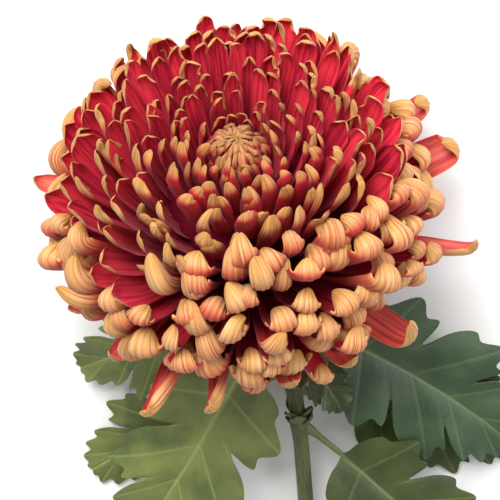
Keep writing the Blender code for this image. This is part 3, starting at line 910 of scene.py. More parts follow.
@dataclass
class Bloom:
    """The flower head: ray petals in a spiral over a dished dome, guard petals and closed florets.

    The places round the axis and away from it are angles. A pair says where a change in the petals
    starts and ends: angles from the axis, or for slimming the sine of the angle round it. From the
    angle in closing on, which is listed for angles round the axis, the petals are closed ones.
    """

    radius: float = 0.066
    crater_depth: float = 0.50
    crater_width: float = 36
    tuck: float = 0.25
    bands: tuple[tuple[str, int, int], ...] = (
        ("petals_crown", 0, 38),
        ("petals_dome", 38, 56),
        ("petals_shoulder", 56, 74),
        ("petals_flank", 74, 92),
        ("petals_rim", 92, 180),
    )
    inner_polar: float = 13
    outer_polar: float = 116
    inner_spacing: float = 0.0050
    outer_spacing: float = 0.0125
    spacing_spread: float = 90
    growing: tuple[float, float] = (16, 62)
    slimming: tuple[float, float] = (-0.60, 0.20)
    enlarging: tuple[float, float] = (72, 96)
    enlarged: float = 1.14
    flushing: tuple[float, float] = (22, 66)
    flushed: tuple[float, float] = (0.92, 0.24)
    seed: int = 11
    root_height: float = -0.016
    root_radius: float = 0.009
    root_dome: float = 0.008
    heart_share: float = 0.50
    heart_edge: float = 96
    heart_steps: int = 12
    heart_base: tuple[tuple[float, float], ...] = ((0.0200, -0.0175), (0.0120, -0.0236))
    button_radius: float = 0.0108
    button_top: float = 0.0385
    button_fall: float = 0.0060
    button_florets: int = 90
    height: float = 0.0478
    elevation: float = 40
    yaw: float = 2
    guard_half_width: float = 0.0058
    guard_clearance: float = 5
    closing_blur: float = 8
    closing: tuple[tuple[float, float], ...] = (
        (-180, 83),
        (-140, 78),
        (-110, 64),
        (-80, 47),
        (-50, 50),
        (-20, 62),
        (10, 73),
        (50, 77),
        (90, 88),
        (140, 81),
        (180, 83),
    )
    guards: tuple[GuardPlace, ...] = (
        GuardPlace(-114, 114, 0.078, 96, 0.55, 0.024, -36, 84, 88, 1.25),
        GuardPlace(-97, 114, 0.071, 90, 0.25, 0.024, -52, 96, 88, 1.20),
        GuardPlace(-76, 112, 0.066),
        GuardPlace(-56, 113, 0.067, 120),
        GuardPlace(-37, 113, 0.074, 128, 0.05, 0.030, -30, 20, 50, 1.15),
        GuardPlace(-12, 102, 0.081, 120, 0.60, 0.024, 24, -50, 64, 1.10),
        GuardPlace(18, 100, 0.080, 178, 0.48, 0.026, 0, 16, 50, 1.35),
        GuardPlace(31, 97, 0.078, 182, 0.48, 0.026, 0, -14, 50, 1.20),
        GuardPlace(52, 106, 0.069),
        GuardPlace(78, 110, 0.067),
        GuardPlace(104, 108, 0.067),
        GuardPlace(130, 107, 0.069),
        GuardPlace(150, 104, 0.070),
        GuardPlace(165, 104, 0.075, 84, 0.72),
        GuardPlace(-172, 108, 0.068),
        GuardPlace(-152, 111, 0.069, 60, 0.60),
        GuardPlace(-133, 113, 0.068),
    )
    face: PetalFace = PetalFace()
    guard_face: PetalFace = PetalFace("petal_salmon", (0.40, 0.016, 0.032), (0.72, 0.125, 0.090))
    back: PetalBack = PetalBack()
    bases: PetalBases = PetalBases()

    def centre(self) -> Vector:
        """The middle of the bloom."""
        return FOOT + UP * self.height

    def lay(self) -> Matrix:
        """Lays the bloom's own frame down on the floor.

        Returns:
            The matrix that does so.
        """
        tilt = math.radians(self.elevation)
        sine, cosine = math.sin(tilt), math.cos(tilt)
        tipped = Matrix(((1, 0, 0), (0, sine, cosine), (0, -cosine, sine))).to_4x4()
        turned = Matrix.Rotation(math.radians(self.yaw), 4, "Z")
        return Matrix.Translation(self.centre()) @ turned @ tipped

    def envelope(self, polar: float) -> float:
        """How far the petals reach from the bloom's centre, at an angle from its axis."""
        reach = self.radius * (1 - self.crater_depth * math.exp(-((polar / self.crater_width) ** 2)))
        return reach * (1 - self.tuck * math.radians(max(0.0, polar - 90)) ** 2)

    def polars(self, steps: int = 400) -> list[float]:
        """The polar angle of each ray petal, from the innermost to the outermost.

        Args:
            steps: How finely the dome is divided as the petals are counted.

        Returns:
            One angle for each petal.
        """
        found: list[float] = []
        count = 0.0
        step = (self.outer_polar - self.inner_polar) / steps
        for k in range(steps):
            polar = self.inner_polar + (k + 0.5) * step
            share = soft(polar, self.inner_polar, self.inner_polar + self.spacing_spread)
            space = mix(self.inner_spacing, self.outer_spacing, share)
            area = 2 * math.pi * self.envelope(polar) ** 2 * math.sin(math.radians(polar))
            count += area * math.radians(step) / space**2
            while len(found) + 0.5 < count:
                found.append(polar)
        return found

    def grown(self, petal: Petal, reach: float) -> Petal:
        """Sets where a petal starts and where its curl does.

        Args:
            petal: The petal.
            reach: How far it reaches from the bloom's centre.

        Returns:
            The same petal.
        """
        angle = math.radians(petal.polar)
        radius = self.root_radius * math.sin(min(angle, math.pi / 2))
        petal.root = (radius, self.root_height + self.root_dome * math.cos(angle))
        shaft = reach - petal.reach()
        petal.start = (shaft * math.sin(angle), shaft * math.cos(angle))
        return petal

    def ray(self, index: int, polar: float) -> Petal:
        """One ray petal.

        Args:
            index: Its place in the spiral.
            polar: Its angle from the axis.

        Returns:
            The petal: a quill near the button, full grown further out, and larger at the rim.
        """
        draw = random.Random(self.seed * 10007 + index)
        polar += vary(draw, 1.2)
        lean = max(0.3, math.sin(math.radians(polar)))
        azimuth = index * GOLDEN_ANGLE + math.radians(vary(draw, 2.0)) / lean
        young = YOUNG.towards(SLIM, soft(math.sin(azimuth), *self.slimming))
        habit = young.towards(self.habit(draw, azimuth, polar), soft(polar, *self.growing))
        larger = mix(1.0, self.enlarged, soft(polar, *self.enlarging))
        petal = Petal(
            azimuth=azimuth,
            polar=polar,
            half_width=habit.half_width * larger * (1 + vary(draw, 0.13)),
            curl=habit.curl + vary(draw, habit.curl_spread),
            curl_length=habit.curl_length * (1 + vary(draw, 0.16)),
            bow=habit.bow + vary(draw, 3),
            fold=habit.fold + vary(draw, 5),
            rolled_in=habit.rolled_in + vary(draw, 12),
            rolls_from=habit.rolls_from,
            bend_from=habit.bend_from,
            bend_to=habit.bend_to,
            turn=-habit.upturn * math.cos(azimuth) + vary(draw, 0.4 * abs(habit.upturn)),
            side_bend=vary(draw, habit.side_spread),
            roll=vary(draw, habit.roll_spread),
            bluntness=habit.bluntness + vary(draw, 0.3),
            taper=habit.taper,
            narrow=habit.narrow,
            ridges=round(habit.ridges + vary(draw, 0.4)),
            ridge_depth=habit.ridge_depth,
            tone=draw.random(),
            blush=clamp(mix(*self.flushed, soft(polar, *self.flushing)) + vary(draw, 0.14)),
        )
        return self.grown(petal, self.envelope(polar) * (1 + vary(draw, 0.036)))

    def habit(self, draw: random.Random, azimuth: float, polar: float) -> Habit:
        """The habit of a full-grown petal: open above, closed low down and at the rim.

        Args:
            draw: Where the random numbers come from.
            azimuth: The petal's angle round the axis, in radians.
            polar: Its angle from the axis.

        Returns:
            One of the full-grown habits.
        """
        side = (math.degrees(azimuth) + 180) % 360 - 180
        closing = np.interp(side, *zip(*self.closing))
        if draw.random() < soft(polar, closing - self.closing_blur, closing + self.closing_blur):
            across = math.cos(azimuth)
            bands = 0.32 + 0.34 * soft(-across, 0.1, 0.7) - 0.20 * soft(across, 0, 0.6)
            return BAND if draw.random() < bands else CLAW
        above = soft(math.sin(azimuth), -0.1, 0.8)
        fingers = mix(0.18, 0.10, above) * (1 - 0.8 * soft(polar, 58, 82))
        return FINGER if draw.random() < fingers else SPOON.towards(OPEN, above)

    def guard(self, place: GuardPlace) -> Petal:
        """A long, open petal at the rim, with only its end turned up.

        Args:
            place: Where it points and how it ends.

        Returns:
            The petal.
        """
        draw = random.Random(self.seed * 30011 + place.azimuth)
        petal = Petal(
            azimuth=math.radians(place.azimuth),
            polar=place.polar,
            half_width=self.guard_half_width * place.breadth * (1 + vary(draw, 0.06)),
            curl=place.curl,
            curl_length=place.length,
            bow=vary(draw, 3) - 3,
            fold=place.fold,
            rolled_in=place.fold + 16,
            bend_from=place.bend_from,
            side_bend=place.side_bend,
            roll=place.roll,
            bluntness=3.2,
            taper=0.12,
            ridge_depth=0.00030,
            tone=draw.random(),
            blush=0.36,
        )
        return self.grown(petal, place.reach)

    def floret(self, index: int) -> Petal:
        """A young petal of the closed middle, which rises and bends over towards the axis.

        Args:
            index: Its place in the spiral.

        Returns:
            The petal.
        """
        draw = random.Random(self.seed * 20011 + index)
        share = math.sqrt((index + 0.5) / self.button_florets)
        petal = Petal(
            azimuth=index * GOLDEN_ANGLE + math.radians(vary(draw, 6)),
            half_width=mix(0.0010, 0.0019, share) * (1 + vary(draw, 0.12)),
            curl=mix(84, 122, share) + vary(draw, 10),
            curl_length=mix(0.0036, 0.0118, share) * (1 + vary(draw, 0.12)),
            bow=2,
            fold=84,
            rolled_in=104,
            side_bend=vary(draw, 14) + 16,
            roll=vary(draw, 12),
            bluntness=2.2,
            taper=0.3,
            narrow=0.7,
            ridges=3,
            ridge_depth=0.00016,
            thickness=0.0003,
            tone=draw.random(),
            blush=0.56 + vary(draw, 0.14),
        )
        fall = self.button_fall * share**2.2 * (1 + vary(draw, 0.12))
        top = self.button_top - fall + vary(draw, 0.0003)
        radius = mix(0.0014, self.button_radius, share)
        height = top - petal.curl_length * 0.42
        petal.root = (radius * 0.75, height - 0.012)
        petal.start = (radius, height)
        return petal

    def under_guard(self, petal: Petal) -> bool:
        """Whether a guard petal takes this petal's place at the rim.

        Args:
            petal: The petal.

        Returns:
            Whether it is left out.
        """
        for place in self.guards:
            apart = (math.degrees(petal.azimuth) - place.azimuth + 180) % 360 - 180
            if math.hypot(apart, petal.polar - place.polar) < self.guard_clearance:
                return True
        return False

    def build(self) -> None:
        """Builds the whole flower head."""
        lay, back = self.lay(), self.back.material()
        crimson, salmon = (self.face.material(), back), (self.guard_face.material(), back)
        rays = [self.ray(index, polar) for index, polar in enumerate(self.polars())]
        rays = [petal for petal in rays if not self.under_guard(petal)]
        for name, low, high in self.bands:
            band = [petal for petal in rays if low <= petal.polar < high]
            PetalLoft(lay).make(name, "petals", "bloom", band, crimson)
        guards = [self.guard(place) for place in self.guards]
        PetalLoft(lay, closed_fold=180).make("petals_guard", "petals", "bloom", guards, salmon)
        florets = [self.floret(index) for index in range(self.button_florets)]
        PetalLoft(lay, begin=0.0).make("florets_button", "petals", "bloom", florets, crimson)
        self.build_heart()
        LOG.info("bloom: %d ray petals", len(rays))

    def build_heart(self) -> None:
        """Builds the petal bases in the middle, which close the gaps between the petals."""
        profile = []
        for k in range(self.heart_steps + 1):
            polar = self.heart_edge * k / self.heart_steps
            angle, reach = math.radians(polar), self.heart_share * self.envelope(polar)
            profile.append((reach * math.sin(angle), reach * math.cos(angle)))
        profile += [*self.heart_base, (0.0, self.heart_base[-1][1])]
        skin = Skin("petal_bases")
        skin.add_turned(profile, self.lay(), flute=0.10)
        skin.make("petals", ["bloom"], (self.bases.material(),))


@dataclass
class Calyx:
    """The green cup under the bloom, with its rows of pointed scales.

    A row of scales is (how many, angle from the axis, reach, share of a step that it is turned by).
    The root of a scale is (radius, height) from the cup's top.
    """

    bloom: Bloom
    gap: float = 0.0003
    depth: float = 0.0075
    neck: float = 0.0036
    lip: float = 0.0006
    lip_radius: float = 0.0105
    steps: int = 8
    rows: tuple[tuple[int, float, float, float], ...] = (
        (13, 101, 0.0182, 0.0),
        (11, 112, 0.0172, 0.5),
        (9, 126, 0.0150, 0.2),
    )
    scale_length: float = 0.0060
    scale_tip: float = 0.0058
    scale_root: tuple[float, float] = (0.0042, -0.0035)
    finish: GreenSkin = GreenSkin("calyx_green", (0.13, 0.19, 0.055), (0.06, 0.11, 0.028))

    def top(self) -> float:
        """The height of the cup's top on the bloom's axis."""
        return self.bloom.heart_base[-1][1] - self.gap

    def scale(self, row: int, index: int) -> Petal:
        """One scale, which grows out from the side of the cup.

        Args:
            row: The number of its row.
            index: Its number in the row.

        Returns:
            The scale, as a small stiff petal.
        """
        count, polar, reach, turn = self.rows[row]
        draw = random.Random(self.bloom.seed * 40009 + 100 * row + index)
        angle = math.radians(polar + vary(draw, 2))
        end = reach * (1 + vary(draw, 0.04)) - self.scale_tip
        return Petal(
            azimuth=2 * math.pi * (index + turn) / count,
            root=(self.scale_root[0], self.top() + self.scale_root[1]),
            start=(end * math.sin(angle), self.top() + end * math.cos(angle)),
            half_width=0.0028,
            curl=16,
            curl_length=self.scale_length,
            bow=-8,
            fold=34,
            rolled_in=46,
            narrow=0.8,
            bluntness=1.5,
            ridges=3,
            ridge_depth=0.0001,
            thickness=0.0006,
            tone=draw.random(),
        )

    def build(self) -> None:
        """Builds the cup and its scales."""
        green, top = self.finish.material(), self.top()
        profile = [(0.0, top), (self.lip_radius, top), (self.lip_radius + 0.0003, top - self.lip)]
        for k in range(1, self.steps + 1):
            share = k / self.steps
            radius = mix(self.lip_radius + 0.0001, self.neck, mix(share, ease(share), 0.6))
            profile.append((radius, top - mix(self.lip, self.depth, share)))
        profile.append((0.0, top - self.depth))
        cup = Skin("calyx_cup")
        cup.add_turned(profile, self.bloom.lay(), flute=0.04)
        cup.make("calyx", ["calyx"], (green,))
        scales = [self.scale(row, k) for row, (count, *_) in enumerate(self.rows) for k in range(count)]
        loft = PetalLoft(self.bloom.lay(), begin=0.0, shaft_steps=6, curl_steps=6)
        loft.make("calyx_scales", "calyx", "calyx", scales, (green, green))


@dataclass
class Stem:
    """The stem, from the neck of the cup to its cut end on the floor, ribbed and swollen at its nodes.

    A place along it is a share, 0 at the top and 1 at the cut end. The path is measured from the
    place on the floor under the middle of the bloom.
    """

    bloom: Bloom
    calyx: Calyx
    nodes: tuple[float, ...]
    neck_length: float = 0.008
    gap: float = 0.0006
    radius: float = 0.0029
    swell: float = 0.20
    node_length: float = 0.022
    path: tuple[tuple[float, float, float], ...] = (
        (0.0065, -0.0440, 0.0195),
        (0.0128, -0.0590, 0.0182),
        (0.0185, -0.0760, 0.0172),
        (0.0216, -0.0970, 0.0152),
        (0.0240, -0.1250, 0.0112),
        (0.0262, -0.1580, 0.0062),
        (0.0280, -0.1920, 0.0027),
    )
    rib_count: int = 6
    rib_depth: float = 0.05
    twist: float = 0.5
    scaled: tuple[float, ...] = (0.32, 0.45, 0.61)
    scale_count: int = 7
    scale_seed: int = 7
    sides: int = 48
    steps: int = 150
    end_rings: tuple[float, ...] = (1.0, 0.85, 0.7, 0.4, 0.05)
    finish: GreenSkin = GreenSkin("stem_green", (0.115, 0.140, 0.044), (0.046, 0.062, 0.020))
    cut: CutEnd = CutEnd()
    knots: list[Vector] = field(init=False)

    def __post_init__(self) -> None:
        """Works out the places that the centre line runs through, with one more beyond each end."""
        top = self.calyx.top() - self.calyx.depth - self.gap
        drops = (-self.neck_length, 0, self.neck_length)
        neck = [self.bloom.lay() @ Vector((0, 0, top - drop)) for drop in drops]
        knots = [*neck, *[FOOT + Vector(place) for place in self.path]]
        self.knots = [*knots, 2 * knots[-1] - knots[-2]]

    def place(self, share: float) -> Vector:
        """A place on the smooth centre line."""
        along = clamp(share, 0, 0.99999) * (len(self.knots) - 3)
        return spline(self.knots, int(along), along % 1)

    def direction(self, share: float) -> Vector:
        """The way that the stem runs, from the bloom to the cut end."""
        return (self.place(share + 0.01) - self.place(share - 0.01)).normalized()

    def radius_at(self, share: float) -> float:
        """The radius, with a swelling where each leaf grows."""
        swell = sum(math.exp(-(((share - node) / self.node_length) ** 2)) for node in self.nodes)
        return self.radius * mix(0.9, 1.06, share) * (1 + self.swell * min(1.0, swell))

    def ring(self, share: float) -> list[Vector]:
        """The points round the stem.

        Args:
            share: The place along the stem.

        Returns:
            The points, none of them under the floor.
        """
        along = self.direction(clamp(share, 0.01, 0.98))
        side = along.cross(UP).normalized()
        up = side.cross(along)
        found = []
        for n in range(self.sides):
            angle = 2 * math.pi * n / self.sides
            wave = abs(math.cos(self.rib_count / 2 * (angle + self.twist * share))) ** 1.5
            radius = self.radius_at(share) * (1 - self.rib_depth + self.rib_depth * wave)
            place = self.place(share) + (side * math.cos(angle) + up * math.sin(angle)) * radius
            place.z = max(0.0, place.z)
            found.append(place)
        return found

    def build(self) -> None:
        """Builds the stalk, its two ends and its scales."""
        shares = [k / self.steps for k in range(self.steps + 1)]
        rings = [self.ring(share) for share in shares]
        values = [(4 * n / self.sides, 8 * share, 0.2) for share in shares for n in range(self.sides)]
        skin = Skin("stem_stalk")
        skin.add_tube(rings, values)
        self.close(skin, rings[0], 0.0)
        self.close(skin, rings[-1], 1.0)
        green = self.finish.material()
        skin.make("stem", ["stem"], (green, self.cut.material()))
        self.build_scales(green)

    def close(self, skin: Skin, ring: Sequence[Vector], share: float) -> None:
        """Closes one end of the stem with rings that show the pith.

        Args:
            skin: The piece.
            ring: The points round that end.
            share: The end's place along the stem, 0 or 1.
        """
        middle, far = np.array(self.place(share)), share > 0.5
        spokes = np.array([place[:] for place in ring]) - middle
        values = np.zeros((len(self.end_rings) * self.sides, 3))
        values[:, 0] = np.repeat(self.end_rings, self.sides)
        points = np.concatenate([middle + spokes * scale for scale in self.end_rings])
        first = skin.add_points(points, values)
        skin.add_grid(first, len(self.end_rings), self.sides, 1, flip=not far, ring=True)
        skin.add_cap(first + len(values) - self.sides, self.sides, 1, flip=not far)

    def scale(self, draw: random.Random, index: int, radius: float) -> Petal:
        """One of the small pointed scales, laid along the stem.

        Args:
            draw: Where the random numbers come from.
            index: Its number round the swelling.
            radius: The stem's radius there.

        Returns:
            The scale, as a small stiff petal.
        """
        size = 1 + vary(draw, 0.3)
        return Petal(
            azimuth=2 * math.pi * (index + vary(draw, 0.3)) / self.scale_count,
            root=(radius * 0.5, 0),
            start=(radius + 0.0006, 0.0026),
            half_width=0.0021 * size,
            curl=vary(draw, 24),
            curl_length=0.0030 * size,
            bow=0,
            fold=40,
            rolled_in=30,
            side_bend=vary(draw, 30),
            bluntness=1.3,
            taper=0.3,
            narrow=0.8,
            ridges=2,
            ridge_depth=0.0001,
            thickness=0.0010,
            tone=draw.random(),
        )

    def build_scales(self, green: Material) -> None:
        """Builds the scales that sit round some of the swellings.

        Args:
            green: The stem's finish.
        """
        draw = random.Random(self.scale_seed)
        skin = Skin("stem_scales")
        for share in self.scaled:
            for index in range(self.scale_count):
                at = share + vary(draw, 0.014)
                along = -self.direction(at)
                side = along.cross(UP).normalized()
                turned = Matrix((side, along.cross(side), along)).transposed().to_4x4()
                lay = Matrix.Translation(self.place(at)) @ turned
                scale = self.scale(draw, index, self.radius_at(at))
                PetalLoft(lay, begin=0.0, shaft_steps=2, curl_steps=7).add(skin, scale)
        skin.make("stem", ["stem"], (green, green))


@dataclass
class Leaf:
    """A lobed, toothed leaf on its stalk: where it grows, which way it runs and how it hangs.

    Its outline is a list of veins down one side: (share of the midrib where the vein leaves it,
    angle to the midrib, length as a share of the blade's). The large side veins are some of them.
    The midrib and a lateral vein are each (width in millimetres on a large leaf, how far they stand
    out below, how far they are sunk in above).
    """

    name: str
    share: float
    heading: float
    length: float
    width: float
    rise: float
    droop: float
    stalk: float
    sweep: float
    roll: float
    finish: LeafFinish
    stalk_radius: float = 0.0013
    stalk_end: float = 0.12
    stalk_taper: float = 0.62
    stalk_flare: float = 0.7
    stalk_groove: float = 0.25
    stalk_dip: float = 0.0010
    stalk_steps: int = 20
    stalk_sides: int = 14
    gap: float = 0.0003
    clearance: float = 0.0021
    floor_gap: float = 0.0002
    lift: float = 0.24
    hang: float = 7.0
    waves: float = 16
    wave_depth: float = 0.0020
    thickness: float = 0.00045
    midrib: tuple[float, float, float] = (1.1, 0.0013, 0.00025)
    lateral: tuple[float, float, float] = (0.7, 0.0004, 0.00015)
    puff: float = 0.0080
    full_size: float = 0.080
    columns: int = 14
    between: int = 5
    edge: tuple[tuple[float, float, float], ...] = (
        (0.00, 90, 0.02),
        (0.03, 98, 0.10),
        (0.07, 88, 0.21),
        (0.10, 80, 0.23),
        (0.13, 70, 0.33),
        (0.17, 61, 0.28),
        (0.20, 56, 0.30),
        (0.24, 52, 0.17),
        (0.28, 58, 0.27),
        (0.31, 54, 0.36),
        (0.34, 50, 0.35),
        (0.38, 46, 0.42),
        (0.42, 42, 0.33),
        (0.46, 40, 0.32),
        (0.51, 42, 0.17),
        (0.55, 45, 0.23),
        (0.58, 40, 0.30),
        (0.62, 36, 0.26),
        (0.66, 32, 0.30),
        (0.72, 28, 0.23),
        (0.77, 25, 0.235),
        (0.84, 20, 0.15),
        (0.89, 16, 0.115),
        (1.00, 10, 0.0),
    )
    veins: tuple[int, ...] = (4, 11, 16, 20)

    def line(self, stem: Stem, steps: int = 48) -> Line:
        """The way that the stalk and the midrib run.

        Args:
            stem: The stem that the leaf grows on.
            steps: How many steps the line has.

        Returns:
            Frames (place, along, across, up) from the stem's skin to the leaf's tip.
        """
        heading = math.radians(self.heading)
        side = Vector((math.cos(heading), math.sin(heading), 0))
        run = stem.direction(self.share)
        clear = stem.radius_at(self.share) + self.gap + self.stalk_radius * abs(side.dot(run))
        place = stem.place(self.share) + side * clear / side.cross(run).length
        step = (self.stalk + self.length) / steps
        found = []
        for k in range(steps + 1):
            u = k / steps
            turn = heading + math.radians(self.sweep) * u
            pitch = math.radians(self.rise - self.droop * u)
            flat = Vector((math.cos(turn), math.sin(turn), 0))
            along = flat * math.cos(pitch) + UP * math.sin(pitch)
            across = Vector((-math.sin(turn), math.cos(turn), 0))
            across = Matrix.Rotation(math.radians(self.roll) * ease(2 * u), 3, along) @ across
            found.append((place, along, across, along.cross(across)))
            place = place + along * step
        return found

    def frame_at(self, share: float, line: Line) -> list[Vector]:
        """The frame at a share of the blade.

        Args:
            share: The share, which is below 0 on the stalk.
            line: The frames of the stalk and the midrib.

        Returns:
            The place and the ways along, across and up.
        """
        whole = (self.stalk + share * self.length) / (self.stalk + self.length)
        k = min(len(line) - 2, int(whole * (len(line) - 1)))
        u = whole * (len(line) - 1) - k
        return [a.lerp(b, u) for a, b in zip(line[k], line[k + 1])]

    def surface(self, share: float, angle: float, reach: float, side: int, line: Line) -> Vector:
        """A place on the blade, which rises from the midrib, droops at its edge and is waved.

        Args:
            share: The share of the midrib where a vein leaves it.
            angle: The vein's angle to the midrib.
            reach: The distance along the vein, as a share of the blade's length.
            side: 1 for the left half and -1 for the right one.
            line: The frames of the stalk and the midrib.

        Returns:
            The place, held clear of the floor.
        """
        place, along, across, up = self.frame_at(share, line)
        out = reach * math.sin(math.radians(angle)) * self.width * self.length
        forward = reach * math.cos(math.radians(angle)) * self.length
        wave = math.sin(share * self.waves + side) * (reach / 0.3) ** 2 * self.wave_depth
        lift = self.lift * out - self.hang * out**2 + wave
        found = place + along * forward + across * side * out + up * lift
        arch = forward * math.radians(self.droop) * forward / (self.stalk + self.length)
        found.z = on_floor(found.z - arch / 2 - self.clearance) + self.clearance
        return found

    def rows(self) -> list[tuple[float, float, float, float]]:
        """Veins down one side of the blade, finely spaced.

        Returns:
            (share, angle, reach, place among the knots) of each.
        """
        knots = [np.array(knot) for knot in (self.edge[0], *self.edge, self.edge[-1])]
        found = []
        for k in range(len(self.edge) - 1):
            for n in range(self.between):
                u = n / self.between
                _, angle, reach = spline(knots, k, u)
                share = mix(self.edge[k][0], self.edge[k + 1][0], u)
                found.append((share, angle, max(0.005, reach), k + u))
        return [*found, (1.0, 90.0, 0.0005, len(self.edge) - 1.0)]

    def build(self, stem: Stem) -> None:
        """Builds the blade and its stalk.

        Args:
            stem: The stem that the leaf grows on.
        """
        line = self.line(stem)
        material = self.finish.material()
        blade = Skin(self.name + "_blade", "vein")
        for side in (1, -1):
            self.add_half(blade, line, side)
        blade.make("leaves", [self.name], (material,))
        stalk = Skin(self.name + "_stalk", "vein")
        self.add_stalk(stalk, stem, line)
        stalk.make("leaves", [self.name], (material,))

    def half(self, line: Line, side: int) -> tuple[np.ndarray, np.ndarray]:
        """The points of one half of the blade, puffed up between its large veins.

        Args:
            line: The frames of the stalk and the midrib.
            side: 1 for the left half and -1 for the right one.

        Returns:
            A row of points for each fine vein, and how far, in millimetres on a large leaf, each
            point is from the midrib and from the nearest large vein.
        """
        rows = self.rows()
        grid = np.empty((len(rows), self.columns + 1, 3))
        for i, (share, angle, reach, knot) in enumerate(rows):
            gap = min(abs(knot - vein) for vein in self.veins)
            between = math.sin(math.pi * min(1.0, gap / 2) / 2) ** 2
            puff = self.puff * self.length * between * min(1.0, reach * 4)
            for j in range(self.columns + 1):
                v = j / self.columns
                grid[i, j] = self.surface(share, angle, reach * v, side, line)
                grid[i, j, 2] += puff * math.sin(math.pi * v) ** 0.8
        values = np.zeros(grid.shape)
        values[..., 0] = np.linalg.norm(grid - grid[:, :1], axis=2)
        lines = grid[[vein * self.between for vein in self.veins]]
        values[..., 1] = np.linalg.norm(grid[:, None] - lines[None], axis=3).min(axis=1)
        return grid, values * 1000 * self.full_size / self.length

    def add_half(self, skin: Skin, line: Line, side: int) -> None:
        """Adds one half of the blade, as a thin sheet that is thicker at its veins.

        Args:
            skin: The piece.
            line: The frames of the stalk and the midrib.
            side: 1 for the left half and -1 for the right one.
        """
        grid, values = self.half(line, side)
        normal = np.cross(np.gradient(grid, axis=0), np.gradient(grid, axis=1))
        normal /= np.linalg.norm(normal, axis=2, keepdims=True) + 1e-12
        normal = np.where(normal[..., 2:3] < 0, -normal, normal)
        normal[:, 0] = (0, 0, 1)
        out, sunk = self.thickness, 0.0
        for k, (width, below, above) in enumerate((self.midrib, self.lateral)):
            near = np.exp(-((values[..., k] / width) ** 2))[..., None]
            out = out + below * near
            sunk = sunk + above * near * self.length / self.full_size
        bottom = grid - normal * out
        bottom[..., 2] = np.maximum(bottom[..., 2], self.floor_gap)
        rows, width = grid.shape[:2]
        first = skin.add_points((grid - normal * sunk).reshape(-1, 3), values.reshape(-1, 3))
        second = skin.add_points(bottom.reshape(-1, 3), (values + (0, 0, 1)).reshape(-1, 3))
        skin.add_grid(first, rows, width, flip=side < 0)
        skin.add_grid(second, rows, width, flip=side > 0)
        for i in range(rows - 1):
            a, b = i * width + self.columns, (i + 1) * width + self.columns
            skin.add_face((first + a, second + a, second + b, first + b), flip=side < 0)

    def add_stalk(self, skin: Skin, stem: Stem, line: Line) -> None:
        """Adds the stalk, flared at the stem, grooved above and sunk into the base of the blade.

        Args:
            skin: The piece.
            stem: The stem that the leaf grows on.
            line: The frames of the stalk and the midrib.
        """
        rings = []
        for k in range(-2, self.stalk_steps + 1):
            u = max(0, k) / self.stalk_steps
            share = mix(-self.stalk, self.stalk_end * self.length, u) / self.length
            place, _, across, up = self.frame_at(share, line)
            if k < 0:
                place = place.lerp(stem.place(self.share), -0.3 * k)
            flare = 1 + self.stalk_flare * math.exp(-(((k + 2) / 2.5) ** 2))
            radius = self.stalk_radius * mix(1.0, self.stalk_taper, u) * flare
            ring = []
            for n in range(self.stalk_sides):
                angle = 2 * math.pi * n / self.stalk_sides
                dent = 1 - self.stalk_groove * max(0.0, math.sin(angle)) ** 4
                around = across * math.cos(angle) + up * math.sin(angle) * dent
                found = place - up * self.stalk_dip * u + around * radius
                found.z = max(self.floor_gap, found.z)
                ring.append(found)
            rings.append(ring)
        count = len(rings) * self.stalk_sides
        first = skin.add_tube(rings, [(0.6, 5.0, 0.0)] * count)
        skin.add_cap(first, self.stalk_sides, flip=True)
        skin.add_cap(first + count - self.stalk_sides, self.stalk_sides)


OLIVE = LeafFinish("leaf_olive", (0.150, 0.185, 0.046), (0.066, 0.088, 0.024), (0.27, 0.32, 0.10), 0.40)
BLUE_GREEN = LeafFinish(
    "leaf_blue_green", (0.046, 0.086, 0.036), (0.022, 0.046, 0.020), (0.12, 0.18, 0.075)
)
MID_GREEN = LeafFinish("leaf_mid_green", (0.060, 0.084, 0.016), (0.024, 0.040, 0.008), (0.15, 0.19, 0.06))

LEAVES = (
    Leaf("leaf_far_left", 0.25, 203, 0.060, 1.00, 6, 34, 0.012, 6, 0, OLIVE),
    Leaf("leaf_left", 0.33, 240, 0.086, 1.00, 18, 44, 0.014, 2, 8, OLIVE),
    Leaf("leaf_low_left", 0.47, 213, 0.066, 1.00, -10, 14, 0.022, 0, 0, OLIVE),
    Leaf("leaf_right", 0.28, -20, 0.084, 1.02, 6, 24, 0.022, -26, -8, BLUE_GREEN),
    Leaf("leaf_mid_right", 0.52, -18, 0.072, 1.05, -12, 0, 0.020, 4, 4, MID_GREEN),
    Leaf("leaf_low_right", 0.61, -34, 0.070, 1.05, 20, 52, 0.014, -26, -6, MID_GREEN),
    Leaf("leaf_neck", 0.40, -26, 0.026, 1.20, 52, 62, 0.003, -44, 0, MID_GREEN),
)


@dataclass(frozen=True)
class Lamp:
    """A soft light: how far right, up and back it stands, its size, its power and its colour."""

    name: str
    offset: tuple[float, float, float]
    size: float
    power: float
    colour: Colour


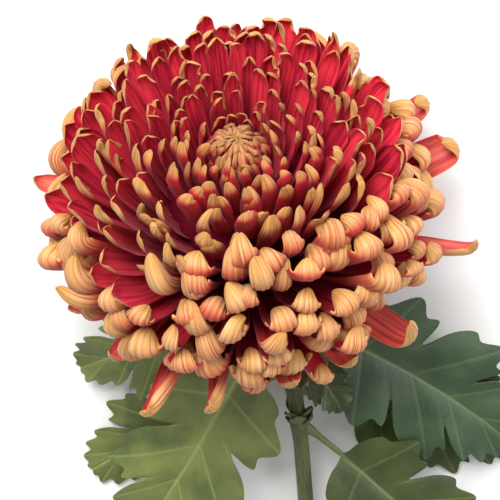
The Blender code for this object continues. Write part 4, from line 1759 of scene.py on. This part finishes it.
@dataclass
class Studio:
    """The pale floor, the soft lights and the camera, which looks down at the photograph's angle."""

    bloom: Bloom
    tilt: float = 71
    distance: float = 0.6
    image_pixels: float = 500
    pixels_per_mm: float = 3.0
    bloom_pixel: tuple[float, float] = (240, 205)
    sensor: float = 36
    floor_size: float = 6.0
    sky: float = 0.57
    lamps: tuple[Lamp, ...] = (
        Lamp("key", (-0.22, 0.40, 0.88), 0.5, 14.5, (1.0, 0.985, 0.96)),
        Lamp("fill", (0.8, 0.1, 0.6), 0.8, 5.0, (0.97, 0.98, 1.0)),
    )

    def axes(self) -> Matrix:
        """The directions of the image.

        Returns:
            Its right and up, and the way back to the camera, as the columns of a matrix.
        """
        angle = math.radians(self.tilt)
        back = Vector((0, math.cos(angle), math.sin(angle)))
        up = Vector((0, math.sin(angle), -math.cos(angle)))
        return Matrix((up.cross(back), up, back)).transposed()

    def seen_from(self, right: float, up: float, back: float) -> Vector:
        """A place beside the middle of the image.

        Args:
            right: How far right of it the place is, as the camera sees it.
            up: How far up.
            back: How far towards the camera.

        Returns:
            The place.
        """
        aside, below = (self.image_pixels / 2 - pixel for pixel in self.bloom_pixel)
        shift = Vector((aside, -below, 0)) / self.pixels_per_mm / 1000
        return self.bloom.centre() + self.axes() @ (shift + Vector((right, up, back)))

    def build(self) -> None:
        """Builds the studio."""
        self.add_floor()
        self.add_camera()
        for lamp in self.lamps:
            self.add_lamp(lamp)
        world = bpy.data.worlds.new("studio")
        world.use_nodes = True
        sky = world.node_tree.nodes["Background"].inputs
        sky[0].default_value = (1.0, 1.0, 1.0, 1.0)
        sky[1].default_value = self.sky
        bpy.context.scene.world = world
        bpy.context.scene.view_settings.view_transform = "Standard"

    def add_floor(self) -> None:
        """Adds the floor."""
        bpy.ops.mesh.primitive_plane_add(size=self.floor_size)
        floor = bpy.context.object
        floor.name = "floor"
        floor.data.materials.append(StudioFloor().material())

    def add_camera(self) -> None:
        """Adds the camera."""
        lens = bpy.data.cameras.new("camera")
        lens.sensor_width = self.sensor
        lens.lens = self.sensor * self.distance * 1000 * self.pixels_per_mm / self.image_pixels
        camera = bpy.data.objects.new("camera", lens)
        place = self.seen_from(0, 0, self.distance)
        camera.matrix_world = Matrix.Translation(place) @ self.axes().to_4x4()
        bpy.context.scene.collection.objects.link(camera)
        bpy.context.scene.camera = camera

    def add_lamp(self, lamp: Lamp) -> None:
        """Adds a soft light that looks at the middle of the image.

        Args:
            lamp: The light.
        """
        light = bpy.data.lights.new(lamp.name, "AREA")
        light.size = lamp.size
        light.energy = lamp.power
        light.color = lamp.colour
        fitting = bpy.data.objects.new(lamp.name, light)
        fitting.location = self.seen_from(*lamp.offset)
        aim = self.axes() @ -Vector(lamp.offset)
        fitting.rotation_euler = aim.to_track_quat("-Z", "Y").to_euler()
        bpy.context.scene.collection.objects.link(fitting)


def main() -> None:
    """Builds every piece in order, then the studio."""
    logging.basicConfig(level=logging.INFO, format="%(name)s: %(message)s")
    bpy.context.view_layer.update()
    bloom = Bloom()
    calyx = Calyx(bloom)
    stem = Stem(bloom, calyx, tuple(leaf.share for leaf in LEAVES))
    bloom.build()
    calyx.build()
    stem.build()
    for leaf in LEAVES:
        leaf.build(stem)
    Studio(bloom).build()


if __name__ == "__main__":
    main()
